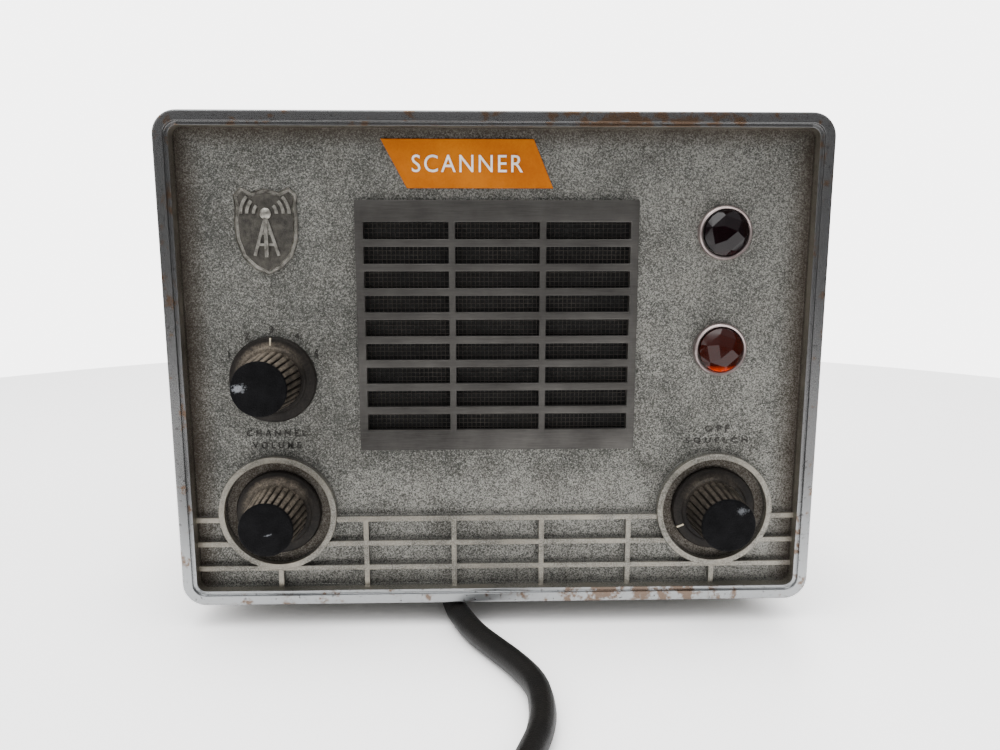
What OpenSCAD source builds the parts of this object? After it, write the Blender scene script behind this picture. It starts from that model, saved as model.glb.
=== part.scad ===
// Desktop police scanner: a valve monitor receiver with a die-cast front, a sheet
// steel wrap case, an inner chassis and a rubber mains lead. Millimetres, +Z up.
// The front faces -Y. The origin is at the bottom centre of the set, between its feet.

/* [Cabinet] */
// Width over the front casting
cabinet_w = 177.8; // [170:0.2:185]
// Height of the front casting
bezel_h = 135; // [130:0.5:140]
// Depth from the knob caps to the aerial socket
overall_d = 289; // [280:1:310]
// Gap between the table and the front casting
foot_gap = 7; // [6.8:0.1:8]
// Depth of the front casting, front to back
bezel_d = 24; // [22:0.5:28]
// Outer corner radius of the front casting
corner_r = 6.4; // [5:0.1:8]
// How far the case is set in from the casting, all round
case_inset = 2.9; // [2.6:0.1:3.2]
// Thickness of the case steel
sheet_t = 1; // [0.8:0.1:1.2]

/* [Front panel] */
// Depth of the panel floor below the rim
recess = 5.5; // [4.5:0.1:6.5]
// Thickness of the panel floor
panel_t = 3; // [2.5:0.1:3.5]
// Width of the polished rim
rim_w = 2.8; // [2.4:0.1:3.2]
// Distance of the knob and lamp columns from the centre line
column_x = 62; // [58:0.5:66]
// Height of the channel knob above the casting's lower edge
selector_h = 64; // [60:0.5:68]
// Height of the two lower knobs above the casting's lower edge
pot_h = 26; // [24:0.5:28]
// Heights of the two lamps above the casting's lower edge
lamp_h = [104, 72]; // [60:0.5:110]
// Outer diameter of the rings around the lower knobs
ring_od = 33; // [31:0.1:35]
// Height of the lowest rib above the casting's lower edge
rib_low = 9.5; // [9:0.1:10]
// Spacing of the horizontal ribs in the lower grid
rib_pitch = 7.2; // [7:0.1:7.4]
// Spacing of the vertical ribs in the lower grid
rib_pitch_x = 25; // [24:0.1:26]

/* [Grille] */
// Width of the speaker grille plate
grille_w = 76.5; // [74:0.1:80]
// Height of the speaker grille plate
grille_h = 68.6; // [64:0.1:72]
// Height of the grille centre above the casting's lower edge
grille_mid_h = 78.3; // [75:0.1:82]
// Slots down the grille
slot_rows = 9; // [7:1:9]
// Slots across the grille
slot_columns = 3; // [2:1:3]

/* [Knobs] */
// Diameter of the knob skirts
skirt_d = 24; // [22:0.5:25]
// Distance from the skirt's face to the cap's face
knob_reach = 13.5; // [12:0.5:15]
// Diameter of the control shafts
shaft_d = 6.35; // [6:0.01:6.4]

/* [Mains lead] */
// Diameter of the lead
cord_d = 6.35; // [5.5:0.05:6.8]

/* [Hidden] */
$fn = 64;

clear = 0.3;
half_w = cabinet_w / 2;
knob_front = -overall_d / 2;
y_skirt = knob_front + knob_reach;
skirt_lift = 2.5;
y_floor = y_skirt + skirt_lift;
y_rim = y_floor - recess;
y_back = y_floor + panel_t;
bezel_mid = foot_gap + bezel_h / 2;
selector_z = foot_gap + selector_h;
pot_z = foot_gap + pot_h;
grille_z = foot_gap + grille_mid_h;
badge_z = foot_gap + 107;

case_w = cabinet_w - 2 * case_inset;
case_h = bezel_h - 2 * case_inset;
case_z = foot_gap + case_inset;
y_case = y_rim + 13;
y_case_end = overall_d / 2 - 12.5;
flange_w = 16;
flange_z = case_z + sheet_t + clear;

y_rear = y_case_end - 4;
rear_t = 1.2;

deck_z = 50;
deck_t = 1.2;
deck_w = 156;
y_deck = -104;
y_deck_end = 118;
deck_foot_z = flange_z + sheet_t + 0.2;

slot_w = 22.8;
slot_h = 4.5;
slot_pitch = 6.56;
slot_pitch_x = 24.6;
grille_lift = 2.2;
window_w = 72.5;
window_h = 59;

rib_w = 1.5;
rib_lift = 2;
ring_lift = 3;
ring_w = 1.7;

shaft_r = shaft_d / 2;
bush_r = 4.75;
shaft_end = knob_front + 3;
barrel_r = 8.2;
cap_r = 7.3;
cap_t = 1;

well_x = -14;
well_w = 25;
y_well = -100;
y_exit = -45;
well_h = 14;
exit_z = 17.2;
cord_r = cord_d / 2;

coil_at = [-52, -262];
coil_outer = 47.6;
coil_inner = 22.3;
coil_h = 12;

// Route of the lead from its gland, under the front, to the coil
cord_route = [
    [-14, -45, 17.2], [-14, -53, 17.2], [-14, -61, 17.2], [-14, -69, 17], [-14, -77, 15.6],
    [-14, -85, 12.7], [-14, -93, 8.6], [-14, -101, 5.5], [-14, -109, 3.9], [-14, -117, 3.3],
    [-13, -126, 3.2], [-10, -136, 3.2], [-6, -145, 3.2], [-1, -153, 3.2], [4, -161, 3.2],
    [8, -170, 3.2], [9, -179, 3.2], [8, -188, 3.2], [5, -197, 3.2], [1, -207, 3.2],
    [-3, -219, 3.2], [-6, -232, 3.2], [-8, -247, 3.2], [-8, -262, 3.2]
];
// Route of the free end from the coil to the plug
tail_route = [
    [-52, -303, 8.8], [-65, -304, 9.6], [-78, -303, 8.8], [-90, -299, 6], [-101, -292, 4.4],
    [-110, -283, 5.4], [-116, -274, 7.4], [-118, -264, 8.5]
];
plug_at = tail_route[len(tail_route) - 1];

foot_xy = [for (x = [-58, 58], y = [-92, 108]) [x, y]];
case_screw_xy = [for (x = [-74, 74], y = [-85, 100]) [x, y]];
rear_screw_z = [38, 108];
panel_screw_xz = [for (x = [-48, 48], z = [foot_gap + 46, foot_gap + 122]) [x, z]];
speaker_screw_xz = [for (x = [-33, 33], z = [-33, 33]) [x, grille_z + z]];
bracket_x = 100;
bracket_y = 140;
valve_xy = [[-58, 28], [-20, 30], [18, 30], [56, 28], [-58, -18], [56, -18]];
can_xy = [[-20, -16], [18, -16], [18, -52]];
crystal_x = [-72, -58, -44, -30, -16];

// A rounded rectangle, centred
module round_rect(w, h, r) {
    square([w - 2 * r, h], center = true);
    square([w, h - 2 * r], center = true);
    for (x = [-1, 1], y = [-1, 1])
        translate([x * (w / 2 - r), y * (h / 2 - r)]) circle(r);
}

// Extrudes an outline drawn as seen from the front, from y1 back to y2
module slab(y1, y2) {
    translate([0, y2, 0]) rotate([90, 0, 0]) linear_extrude(y2 - y1) children();
}

// A round bar along Y
module rod(x, z, r, y1, y2) {
    slab(y1, y2) translate([x, z]) circle(r);
}

// A round bar along Z
module post(x, y, r, z1, z2) {
    translate([x, y, z1]) cylinder(h = z2 - z1, r = r);
}

// A box from its low corner to its high corner
module block(low, high) {
    translate(low) cube(high - low);
}

// ---------------------------------------------------------------- front casting

module bezel_outline(inset) {
    translate([0, bezel_mid])
        round_rect(cabinet_w - 2 * inset, bezel_h - 2 * inset, max(corner_r - inset, 1.5));
}

module lower_grid() {
    left = half_w - rim_w - 0.8;
    for (i = [0:2])
        slab(y_floor - rib_lift, y_floor) translate([-left, foot_gap + rib_low + i * rib_pitch - rib_w / 2])
            square([2 * left, rib_w]);
    for (x = [-1.5, -0.5, 0.5, 1.5])
        slab(y_floor - rib_lift, y_floor) translate([x * rib_pitch_x - rib_w / 2, foot_gap + rim_w])
            square([rib_w, rib_low - rim_w + 2 * rib_pitch]);
    for (x = [-1, 1])
        slab(y_floor - rib_lift, y_floor) translate([x * column_x - rib_w / 2, foot_gap + rim_w])
            square([rib_w, rib_low - rim_w]);
}

module control_hole(x, z, r) {
    rod(x, z, r, y_rim - 1, y_back + 6);
}

module front_bezel() color("#8f9290") difference() {
    union() {
        difference() {
            slab(y_rim, y_rim + bezel_d) bezel_outline(0);
            slab(y_rim - 1, y_rim + 1) bezel_outline(rim_w);
            slab(y_rim - 1, y_floor) bezel_outline(rim_w + 1);
            slab(y_back, y_rim + bezel_d + 1) translate([0, bezel_mid])
                round_rect(case_w + 2 * clear, case_h + 2 * clear, corner_r - case_inset + clear);
        }
        intersection() {
            lower_grid();
            slab(y_rim, y_back) bezel_outline(rim_w - 0.2);
        }
        for (x = [-column_x, column_x])
            rod(x, pot_z, ring_od / 2, y_floor - ring_lift, y_floor + 1);
        for (p = panel_screw_xz) rod(p[0], p[1], 4, y_back - 1, y_back + 8);
    }
    for (x = [-column_x, column_x])
        rod(x, pot_z, ring_od / 2 - ring_w, y_rim - 1, y_floor);
    slab(y_rim - 1, y_back + 1) translate([0, grille_z]) square([window_w, window_h], center = true);
    control_hole(-column_x, selector_z, bush_r + 0.1);
    for (x = [-column_x, column_x]) control_hole(x, pot_z, bush_r + 0.1);
    for (h = lamp_h) control_hole(column_x, foot_gap + h, 6.4);
    for (p = panel_screw_xz) rod(p[0], p[1], 1.6, y_back + 1, y_back + 9);
    for (p = speaker_screw_xz) rod(p[0], p[1], 1.35, y_floor + 1, y_back + 1);
}

module grille_slots() {
    for (i = [0:slot_rows - 1], j = [0:slot_columns - 1])
        translate([(j - (slot_columns - 1) / 2) * slot_pitch_x, grille_z + (i - (slot_rows - 1) / 2) * slot_pitch])
            square([slot_w, slot_h], center = true);
}

module speaker_grille() color("#9a9c99") slab(y_floor - grille_lift, y_floor) difference() {
    translate([0, grille_z]) square([grille_w, grille_h], center = true);
    grille_slots();
}

module grille_mesh() color("#15130f")
    slab(y_floor + 0.1, y_floor + 0.6) translate([0, grille_z])
        square([window_w - 0.4, window_h - 0.4], center = true);

// A plain shield with a mast and two signal arcs
module badge() color("#a3a09a") {
    slab(y_floor - 0.9, y_floor) translate([-column_x, badge_z]) {
        square([17, 12], center = true);
        translate([0, -6]) circle(8.5);
        translate([0, 6]) square([12, 6], center = true);
    }
}

module callsign_tag() color("#c87d12") slab(y_floor - 0.8, y_floor)
    polygon([[-31, foot_gap + 128.5], [9.7, foot_gap + 128.5], [15, foot_gap + 115.7], [-24.2, foot_gap + 115.7]]);

// ---------------------------------------------------------------- case

module case_outline(inset) {
    translate([0, case_z + case_h / 2])
        round_rect(case_w - 2 * inset, case_h - 2 * inset, corner_r - case_inset - inset);
}

module top_vents() {
    for (x = [-1, 1], i = [0:9])
        block([x * 36 - 24, 10 + i * 9, case_z + case_h - 3], [x * 36 + 24, 13.2 + i * 9, case_z + case_h + 1]);
}

module case_shell() color("#6f7069") difference() {
    union() {
        slab(y_case, y_case_end) difference() {
            case_outline(0);
            case_outline(sheet_t);
            translate([-case_w / 2 + sheet_t, case_z - 1]) square([case_w - 2 * sheet_t, 8]);
        }
        for (x = [-1, 1])
            block([min(x * (case_w / 2 - sheet_t), x * (case_w / 2 - flange_w)), y_case + 8, flange_z],
                  [max(x * (case_w / 2 - sheet_t), x * (case_w / 2 - flange_w)), y_rear - 12, flange_z + sheet_t]);
    }
    top_vents();
    for (p = case_screw_xy) post(p[0], p[1], 1.8, flange_z - 1, flange_z + 3);
    for (z = rear_screw_z) translate([-case_w, y_rear - 5, z]) rotate([0, 90, 0]) cylinder(h = 2 * case_w, r = 1.8);
}

module well_box(grow, y1, y2, low, top) {
    block([well_x - well_w / 2 - grow, y1, case_z + low], [well_x + well_w / 2 + grow, y2, case_z + top]);
}

module bottom_cover() color("#66675f") difference() {
    union() {
        block([-case_w / 2 + sheet_t + clear, y_case + 8, case_z],
              [case_w / 2 - sheet_t - clear, y_rear - 1, case_z + sheet_t]);
        well_box(sheet_t, y_well - sheet_t, y_exit + sheet_t, 0, well_h + sheet_t);
    }
    well_box(0, y_well, y_exit, -1, well_h);
    rod(well_x, exit_z, 5, y_exit - 1, y_exit + 3);
    for (p = foot_xy) post(p[0], p[1], 1.8, case_z - 1, case_z + 3);
    for (p = case_screw_xy) post(p[0], p[1], 1.8, case_z - 1, case_z + 3);
    for (x = [-1, 1], y = [-1, 1])
        post(x * bracket_x / 2, 10 + y * bracket_y / 2, 2.4, case_z - 1, case_z + 3);
    for (x = [-1, 1], i = [0:7])
        block([x * 26 - 15, 0 + i * 9, case_z - 1], [x * 26 + 15, 3.2 + i * 9, case_z + 3]);
}

aerial_xz = [-48, 96];
jack_xz = [8, 40];
fuse_xz = [50, 40];
y_fuse = y_rear - 22;

module rear_panel() color("#77776f") difference() {
    union() {
        slab(y_rear, y_rear + rear_t) translate([0, case_z + case_h / 2 + 0.4])
            square([case_w - 2 * sheet_t - 1, case_h - 2 * sheet_t - 2], center = true);
        for (x = [-1, 1])
            block([x * (case_w / 2 - sheet_t - 1.1) - 0.6, y_rear - 10, 24],
                  [x * (case_w / 2 - sheet_t - 1.1) + 0.6, y_rear, 124]);
    }
    rod(aerial_xz[0], aerial_xz[1], 7.2, y_rear - 1, y_rear + 3);
    rod(jack_xz[0], jack_xz[1], bush_r + 0.1, y_rear - 1, y_rear + 3);
    rod(fuse_xz[0], fuse_xz[1], 6.6, y_rear - 1, y_rear + 3);
    for (x = [-8, 38], i = [0:5])
        block([x, y_rear - 1, 78 + i * 8], [x + 36, y_rear + 3, 81.2 + i * 8]);
    for (z = rear_screw_z) translate([-case_w, y_rear - 5, z]) rotate([0, 90, 0]) cylinder(h = 2 * case_w, r = 1.3);
}

module feet() color("#1d1c1b") for (p = foot_xy) difference() {
    translate([p[0], p[1], 0]) rotate_extrude()
        polygon([[0, 0], [7.5, 0], [8.5, 1.5], [9.5, case_z], [0, case_z]]);
    post(p[0], p[1], 3.8, -1, 3.4);
    post(p[0], p[1], 1.75, 3, case_z + 1);
}

module foot_screws() color("silver") for (p = foot_xy) {
    post(p[0], p[1], 3.4, 1.4, 3.4);
    post(p[0], p[1], 1.65, 3.4, case_z + 5);
    translate([p[0], p[1], case_z + sheet_t]) difference() {
        cylinder(h = 2.4, r = 3.6, $fn = 6);
        translate([0, 0, -1]) cylinder(h = 6, r = 1.65);
    }
}

module case_screws() color("silver") {
    for (p = case_screw_xy) {
        post(p[0], p[1], 3.2, case_z - 1.8, case_z);
        post(p[0], p[1], 1.5, case_z, deck_foot_z + 5);
    }
    for (x = [-1, 1], z = rear_screw_z)
        translate([x * (case_w / 2 - 6), y_rear - 5, z]) rotate([0, x * 90, 0]) {
            cylinder(h = 6, r = 1.25);
            translate([0, 0, 6]) cylinder(h = 1.8, r = 3.2);
        }
}

// ---------------------------------------------------------------- chassis

module chassis() color("#a9a9a4") difference() {
    union() {
        block([-deck_w / 2, y_deck, deck_z], [deck_w / 2, y_deck_end, deck_z + deck_t]);
        for (x = [-1, 1]) {
            block([x * (deck_w / 2 - deck_t / 2) - deck_t / 2, y_deck, deck_foot_z],
                  [x * (deck_w / 2 - deck_t / 2) + deck_t / 2, y_deck_end, deck_z]);
            block([x * (deck_w / 2 - 5) - 5, y_deck, deck_foot_z],
                  [x * (deck_w / 2 - 5) + 5, y_deck_end, deck_foot_z + deck_t]);
        }
        for (x = [-1, 1]) {
            block([x * 48 - 6, y_back + 8, 49], [x * 48 + 6, y_back + 8 + deck_t, 134]);
            block([x * 48 - 6, y_back + 8, deck_z], [x * 48 + 6, y_deck + 1, deck_z + deck_t]);
        }
        block([-deck_w / 2, y_deck_end - deck_t, 30], [30, y_deck_end, deck_z]);
    }
    for (p = valve_xy) post(p[0], p[1], 8, deck_z - 1, deck_z + 3);
    for (p = panel_screw_xz) {
        rod(p[0], p[1], 1.8, y_back + 7, y_back + 11);
        rod(p[0], p[1], 3.6, y_back + 8 + deck_t, y_back + 12);
    }
    for (p = case_screw_xy) post(p[0], p[1], 1.5 + 0.1, deck_foot_z - 1, deck_foot_z + 3);
}

module panel_screws() color("silver") for (p = panel_screw_xz) {
    rod(p[0], p[1], 1.5, y_back + 1.5, y_back + 8 + deck_t);
    rod(p[0], p[1], 3.2, y_back + 8 + deck_t, y_back + 11);
}

// ---------------------------------------------------------------- loudspeaker

// Turns a profile of [radius, distance behind the panel] about the speaker's axis
module turned(points) {
    translate([0, y_back, grille_z]) rotate([-90, 0, 0]) rotate_extrude() polygon(points);
}

module speaker_basket() color("#5b5d58") difference() {
    union() {
        turned([[35.5, 0.2], [38.5, 0.2], [38.5, 1.4], [37, 1.4], [21.4, 17], [21.4, 18.4], [8.8, 18.4],
                [8.8, 17], [20, 17], [35.5, 1.4]]);
        slab(y_back + 0.2, y_back + 1.4) translate([0, grille_z]) difference() {
            square([77, 77], center = true);
            circle(35.5);
        }
    }
    for (p = speaker_screw_xz) rod(p[0], p[1], 1.6, y_back - 1, y_back + 3);
    for (a = [0:45:315]) translate([0, y_back + 8, grille_z]) rotate([0, a + 22.5, 0])
        translate([0, 0, 28]) cube([12, 6, 16], center = true);
}

module speaker_magnet() color("#3c3d3f") difference() {
    turned([[0, 18.4], [17, 18.4], [17, 36], [0, 36]]);
    turned([[6.8, 17], [8.4, 17], [8.4, 31], [6.8, 31]]);
}

module speaker_cone() color("#2a2724")
    turned([[31.6, 2.4], [29.8, 1.6], [28, 3], [8.6, 14], [7.2, 12.6], [4, 11.2], [0, 10.8], [0, 11.4],
            [4, 11.8], [7, 13.3], [7.3, 14.2], [7.3, 16], [7.9, 16], [9, 14.8], [28.2, 3.8], [29.8, 2.4], [31, 3.2],
            [31.6, 3.2]]);

module voice_coil() color("#a4632c")
    turned([[7.3, 16.2], [7.9, 16.2], [7.9, 27], [7.3, 27]]);

module speaker_screws() color("silver") for (p = speaker_screw_xz) {
    rod(p[0], p[1], 1.3, y_floor + 1.2, y_back + 1.4);
    rod(p[0], p[1], 2.8, y_back + 1.4, y_back + 3);
}

// ---------------------------------------------------------------- knobs and controls

// A skirted knob with a fluted barrel, on its shaft's axis
module knob(x, z) {
    flutes = 26;
    taper = atan((barrel_r - cap_r) / (knob_reach - cap_t));
    end_h = knob_reach + skirt_lift - clear - cap_t;
    difference() {
        translate([x, y_skirt + skirt_lift - clear, z]) rotate([90, 0, 0]) rotate_extrude()
            polygon([[0, 0], [skirt_d / 2, 0], [skirt_d / 2 - 0.4, 1.5], [9.2, skirt_lift - clear],
                     [barrel_r, skirt_lift], [cap_r, end_h], [0, end_h]]);
        rod(x, z, shaft_r + 0.03, shaft_end - 0.2, y_floor + 1);
        rod(x, z, 8, y_floor - 2.4, y_floor + 1);
        for (i = [0:flutes - 1]) translate([x, y_skirt - 0.4, z]) rotate([0, i * 360 / flutes, 0])
            translate([0, 0, barrel_r]) rotate([90 + taper, 0, 0]) cylinder(h = knob_reach, r = 0.4, $fn = 6);
        translate([x, y_skirt - 4, z]) cylinder(h = 20, r = 1.6);
    }
}

module knob_cap(x, z) {
    rod(x, z, cap_r, knob_front, knob_front + cap_t);
}

module set_screw(x, z) {
    translate([x, y_skirt - 4, z + shaft_r + 0.1]) cylinder(h = 3.4, r = 1.55);
}

module shaft(x, z, y_end) {
    rod(x, z, shaft_r, shaft_end, y_end);
}

// A potentiometer with its threaded bushing; back is how far its can reaches
module pot(x, z, back) {
    difference() {
        union() {
            rod(x, z, bush_r, y_floor - 2.2, y_back + 1);
            rod(x, z, 12, y_back + 0.2, y_back + back);
            block([x - 9, y_back + 2, z - 20], [x + 9, y_back + 3.6, z - 10]);
        }
        rod(x, z, shaft_r + 0.05, y_floor - 3, y_back + back - 2);
    }
}

module channel_knob() color("#7a6d5c") knob(-column_x, selector_z);
module channel_knob_cap() color("#17171a") knob_cap(-column_x, selector_z);
module channel_set_screw() color("silver") set_screw(-column_x, selector_z);
module volume_knob() color("#7a6d5c") knob(-column_x, pot_z);
module volume_knob_cap() color("#17171a") knob_cap(-column_x, pot_z);
module volume_set_screw() color("silver") set_screw(-column_x, pot_z);
module squelch_knob() color("#7a6d5c") knob(column_x, pot_z);
module squelch_knob_cap() color("#17171a") knob_cap(column_x, pot_z);
module squelch_set_screw() color("silver") set_screw(column_x, pot_z);

module volume_pot() color("#8c8a80") pot(-column_x, pot_z, 13);
module volume_shaft() color("silver") shaft(-column_x, pot_z, y_back + 10);
module squelch_pot() color("#8c8a80") pot(column_x, pot_z, 22);
module squelch_shaft() color("silver") shaft(column_x, pot_z, y_back + 19);

wafer_y = [y_back + 10.5, y_back + 19.5];
wafer_t = 1.6;

module channel_switch() color("#b08a4a") {
    difference() {
        union() {
            rod(-column_x, selector_z, bush_r, y_floor - 2.2, y_back + 1);
            slab(y_back + 0.2, y_back + 1.4) translate([-column_x, selector_z]) square([19, 40], center = true);
            for (z = [-16.5, 16.5]) rod(-column_x, selector_z + z, 1.6, y_back + 1, y_back + 22);
            for (y = wafer_y) difference() {
                rod(-column_x, selector_z, 18.5, y, y + wafer_t);
                rod(-column_x, selector_z, 9, y - 1, y + 3);
            }
        }
        rod(-column_x, selector_z, shaft_r + 0.05, y_floor - 3, y_back + 3);
    }
}

module channel_shaft() color("silver") difference() {
    shaft(-column_x, selector_z, y_back + 22.5);
    block([-column_x - 4, y_back + 4, selector_z + 1.6], [-column_x + 4, y_back + 24, selector_z + 4]);
}

module switch_rotors() color("#c9b27c") for (y = wafer_y) difference() {
    rod(-column_x, selector_z, 8.9, y, y + wafer_t);
    intersection() {
        rod(-column_x, selector_z, shaft_r + 0.02, y - 1, y + 3);
        block([-column_x - 4, y - 2, selector_z - 5], [-column_x + 4, y + 4, selector_z + 1.65]);
    }
}

module control_nuts() color("silver")
    for (p = [[-column_x, selector_z], [-column_x, pot_z], [column_x, pot_z]]) difference() {
        slab(y_floor - 2, y_floor) translate([p[0], p[1]]) circle(7.2, $fn = 6);
        rod(p[0], p[1], bush_r + 0.03, y_floor - 3, y_floor + 1);
    }

// ---------------------------------------------------------------- pilot lamps

module jewel(z) {
    translate([column_x, y_floor - 1.2, z]) rotate([90, 0, 0]) {
        cylinder(h = 1.4, r = 6.1);
        translate([0, 0, 1.4]) cylinder(h = 2, r1 = 6.1, r2 = 3.2);
    }
}

module upper_jewel() color("#3a0d10") jewel(foot_gap + lamp_h[0]);
module lower_jewel() color("#8a2f12") jewel(foot_gap + lamp_h[1]);

module lamp_rings() color("silver") for (h = lamp_h) difference() {
    rod(column_x, foot_gap + h, 7.4, y_floor - 2, y_floor);
    rod(column_x, foot_gap + h, 6.15, y_floor - 3, y_floor + 1);
}

module lamp_holders() color("#b9b7ae") for (h = lamp_h) difference() {
    union() {
        rod(column_x, foot_gap + h, 6.05, y_floor - 1.1, y_back + 1);
        rod(column_x, foot_gap + h, 8.5, y_back + 0.2, y_back + 4);
        rod(column_x, foot_gap + h, 7, y_back + 4, y_back + 24);
    }
    rod(column_x, foot_gap + h, 5.3, y_floor - 2, y_back + 18);
}

module lamp_bulbs() color("#d8d4c4") for (h = lamp_h) {
    translate([column_x, y_back + 2, foot_gap + h]) sphere(r = 4.4);
    rod(column_x, foot_gap + h, 3.6, y_back + 4, y_back + 18);
}

// ---------------------------------------------------------------- on the deck

module valve_sockets() color("#2b2723") for (p = valve_xy) {
    post(p[0], p[1], 7.7, deck_z - 4, deck_z + deck_t);
    difference() {
        post(p[0], p[1], 11, deck_z + deck_t, deck_z + deck_t + 2.4);
        post(p[0], p[1], 9.9, deck_z + deck_t + 0.8, deck_z + 9);
    }
}

module valves() color("#cfd6d2") for (p = valve_xy)
    translate([p[0], p[1], deck_z + deck_t + 1]) rotate_extrude()
        polygon([[0, 0], [9.3, 0], [9.3, 42], [7.5, 46.5], [2.5, 48.5], [1.5, 51], [0, 51.6]]);

module valve_shields() color("#9fa19e") for (i = [0, 3]) difference() {
    post(valve_xy[i][0], valve_xy[i][1], 11, deck_z + deck_t + 2.7, deck_z + 52);
    post(valve_xy[i][0], valve_xy[i][1], 10.2, deck_z, deck_z + 50.8);
    post(valve_xy[i][0], valve_xy[i][1], 5, deck_z, deck_z + 54);
}

module if_cans() color("#c3c4c1") for (p = can_xy)
    difference() {
        block([p[0] - 10, p[1] - 10, deck_z + deck_t], [p[0] + 10, p[1] + 10, deck_z + deck_t + 42]);
        post(p[0], p[1], 3, deck_z + deck_t + 30, deck_z + deck_t + 43);
    }

module crystal_sockets() color("#6d5a3d") for (x = crystal_x)
    block([x - 5.5, -84, deck_z + deck_t], [x + 5.5, -60, deck_z + deck_t + 5]);

module crystals() color("#b5b6b2") for (x = crystal_x)
    block([x - 4.4, -81.6, deck_z + deck_t + 5], [x + 4.4, -62.4, deck_z + deck_t + 24.5]);

// Stacked laminations with a winding through their windows
module transformer(x, y, w, d, h) {
    z = deck_z + deck_t;
    block([x - w / 2, y - d / 4, z], [x + w / 2, y + d / 4, z + h]);
    for (s = [-1, 1])
        block([x - w * 0.3, y + s * d * 0.375 - d / 8, z + h * 0.18],
              [x + w * 0.3, y + s * d * 0.375 + d / 8, z + h * 0.82]);
}

module power_transformer() color("#3a3b3d") transformer(-46, 86, 64, 50, 56);
module output_transformer() color("#55524a") transformer(8, 92, 38, 34, 34);

module filter_capacitor() color("#b9bab8") {
    post(52, 86, 16, deck_z + deck_t, deck_z + 62);
    post(52, 86, 17.5, deck_z + deck_t, deck_z + deck_t + 3);
}

module component_board() color("#8a6a35") {
    block([-50, 0, 30], [50, 70, 31.6]);
    for (i = [0:11]) translate([-44 + i * 8, 12, 33.5]) rotate([-90, 0, 0]) cylinder(h = 18, r = 2.2);
    for (i = [0:5]) translate([-40 + i * 16, 42, 35.2]) rotate([-90, 0, 0]) cylinder(h = 22, r = 4);
    for (x = [-46, 46], y = [4, 66]) post(x, y, 2.5, 31.6, deck_z);
}

// ---------------------------------------------------------------- rear fittings

module fuse_holder() color("#1f1e1d") difference() {
    union() {
        rod(fuse_xz[0], fuse_xz[1], 6.5, y_fuse - 2, y_rear + 4);
        rod(fuse_xz[0], fuse_xz[1], 9, y_rear + rear_t, y_rear + 3.5);
        difference() {
            slab(y_rear - 3, y_rear) translate(fuse_xz) circle(9, $fn = 6);
            rod(fuse_xz[0], fuse_xz[1], 6, y_rear - 4, y_rear + 1);
        }
    }
    rod(fuse_xz[0], fuse_xz[1], 4.4, y_fuse - 0.4, y_rear + 5);
}

module fuse_cap() color("#262423") {
    rod(fuse_xz[0], fuse_xz[1], 7, y_rear + 4.3, y_rear + 12);
    difference() {
        rod(fuse_xz[0], fuse_xz[1], 4.1, y_rear - 1, y_rear + 5);
        rod(fuse_xz[0], fuse_xz[1], 2.6, y_rear - 2, y_rear + 3);
    }
}

module fuse() color("#d9dcd6") rod(fuse_xz[0], fuse_xz[1], 2.5, y_fuse, y_rear + 2.9);

module aerial_socket() color("#c4c5c2") difference() {
    union() {
        slab(y_rear + rear_t, y_rear + rear_t + 1.6) translate(aerial_xz) square([25.4, 25.4], center = true);
        rod(aerial_xz[0], aerial_xz[1], 7.94, y_rear + rear_t + 1, overall_d / 2);
        rod(aerial_xz[0], aerial_xz[1], 7.1, y_rear - 6, y_rear + rear_t + 1);
    }
    rod(aerial_xz[0], aerial_xz[1], 5.6, y_rear + 6, overall_d / 2 + 1);
    rod(aerial_xz[0], aerial_xz[1], 2, y_rear - 2, overall_d / 2 + 1);
}

module speaker_jack() color("#8e8c86") difference() {
    union() {
        rod(jack_xz[0], jack_xz[1], bush_r, y_rear - 1, y_rear + 5.4);
        slab(y_rear + rear_t, y_rear + 3.4) translate(jack_xz) circle(7.2, $fn = 6);
        block([jack_xz[0] - 7, y_rear - 9, jack_xz[1] - 7], [jack_xz[0] + 7, y_rear - 0.2, jack_xz[1] + 7]);
    }
    rod(jack_xz[0], jack_xz[1], 3.2, y_rear - 8, y_rear + 7);
}

// ---------------------------------------------------------------- mains lead

module strain_relief() color("#141414") translate([well_x, y_exit, exit_z]) rotate([90, 0, 0])
    rotate_extrude() polygon([[3.4, -3.6], [6, -3.6], [6, -1.4], [4.9, -1.1], [4.9, 0.1], [6, 0.4], [5.7, 3],
                              [4.3, 24], [3.4, 24]]);

function unit(v) = v / norm(v);
function heading(path, i) = unit(path[min(i + 1, len(path) - 1)] - path[max(i - 1, 0)]);
function ring(path, i, r, sides) =
    let (d = heading(path, i), side = unit(cross(d, [0, 0, 1])), up = cross(side, d))
    [for (k = [0:sides - 1]) path[i] + r * (cos(360 * k / sides) * side + sin(360 * k / sides) * up)];

// A tube swept along a list of points, closed at both ends
module tube(path, r, sides = 10) {
    points = [for (i = [0:len(path) - 1]) each ring(path, i, r, sides)];
    last = (len(path) - 1) * sides;
    walls = [for (i = [0:len(path) - 2], k = [0:sides - 1])
        let (a = i * sides + k, b = i * sides + (k + 1) % sides) [a, b, b + sides, a + sides]];
    ends = [[for (k = [sides - 1:-1:0]) k], [for (k = [0:sides - 1]) last + k]];
    polyhedron(points, concat(walls, ends));
}

module cord() color("#161616") tube(cord_route, cord_r - 0.02);
module cord_tail() color("#161616") tube(tail_route, cord_r - 0.02);

module cord_coil() color("#1b1b1b") translate([coil_at[0], coil_at[1], 0]) rotate_extrude()
    polygon([[coil_inner, 0], [coil_outer, 0], [coil_outer, 6], [coil_outer - 3, coil_h],
             [coil_inner + 3, coil_h], [coil_inner, 6]]);

module plug() color("#1c1c1c") translate(plug_at) {
    translate([-12, 0, -8.5]) cube([24, 26, 17]);
    for (x = [-1, 1]) translate([x * 6.35 - 0.8, 26, -3.2]) cube([1.6, 16, 6.4]);
}

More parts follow.
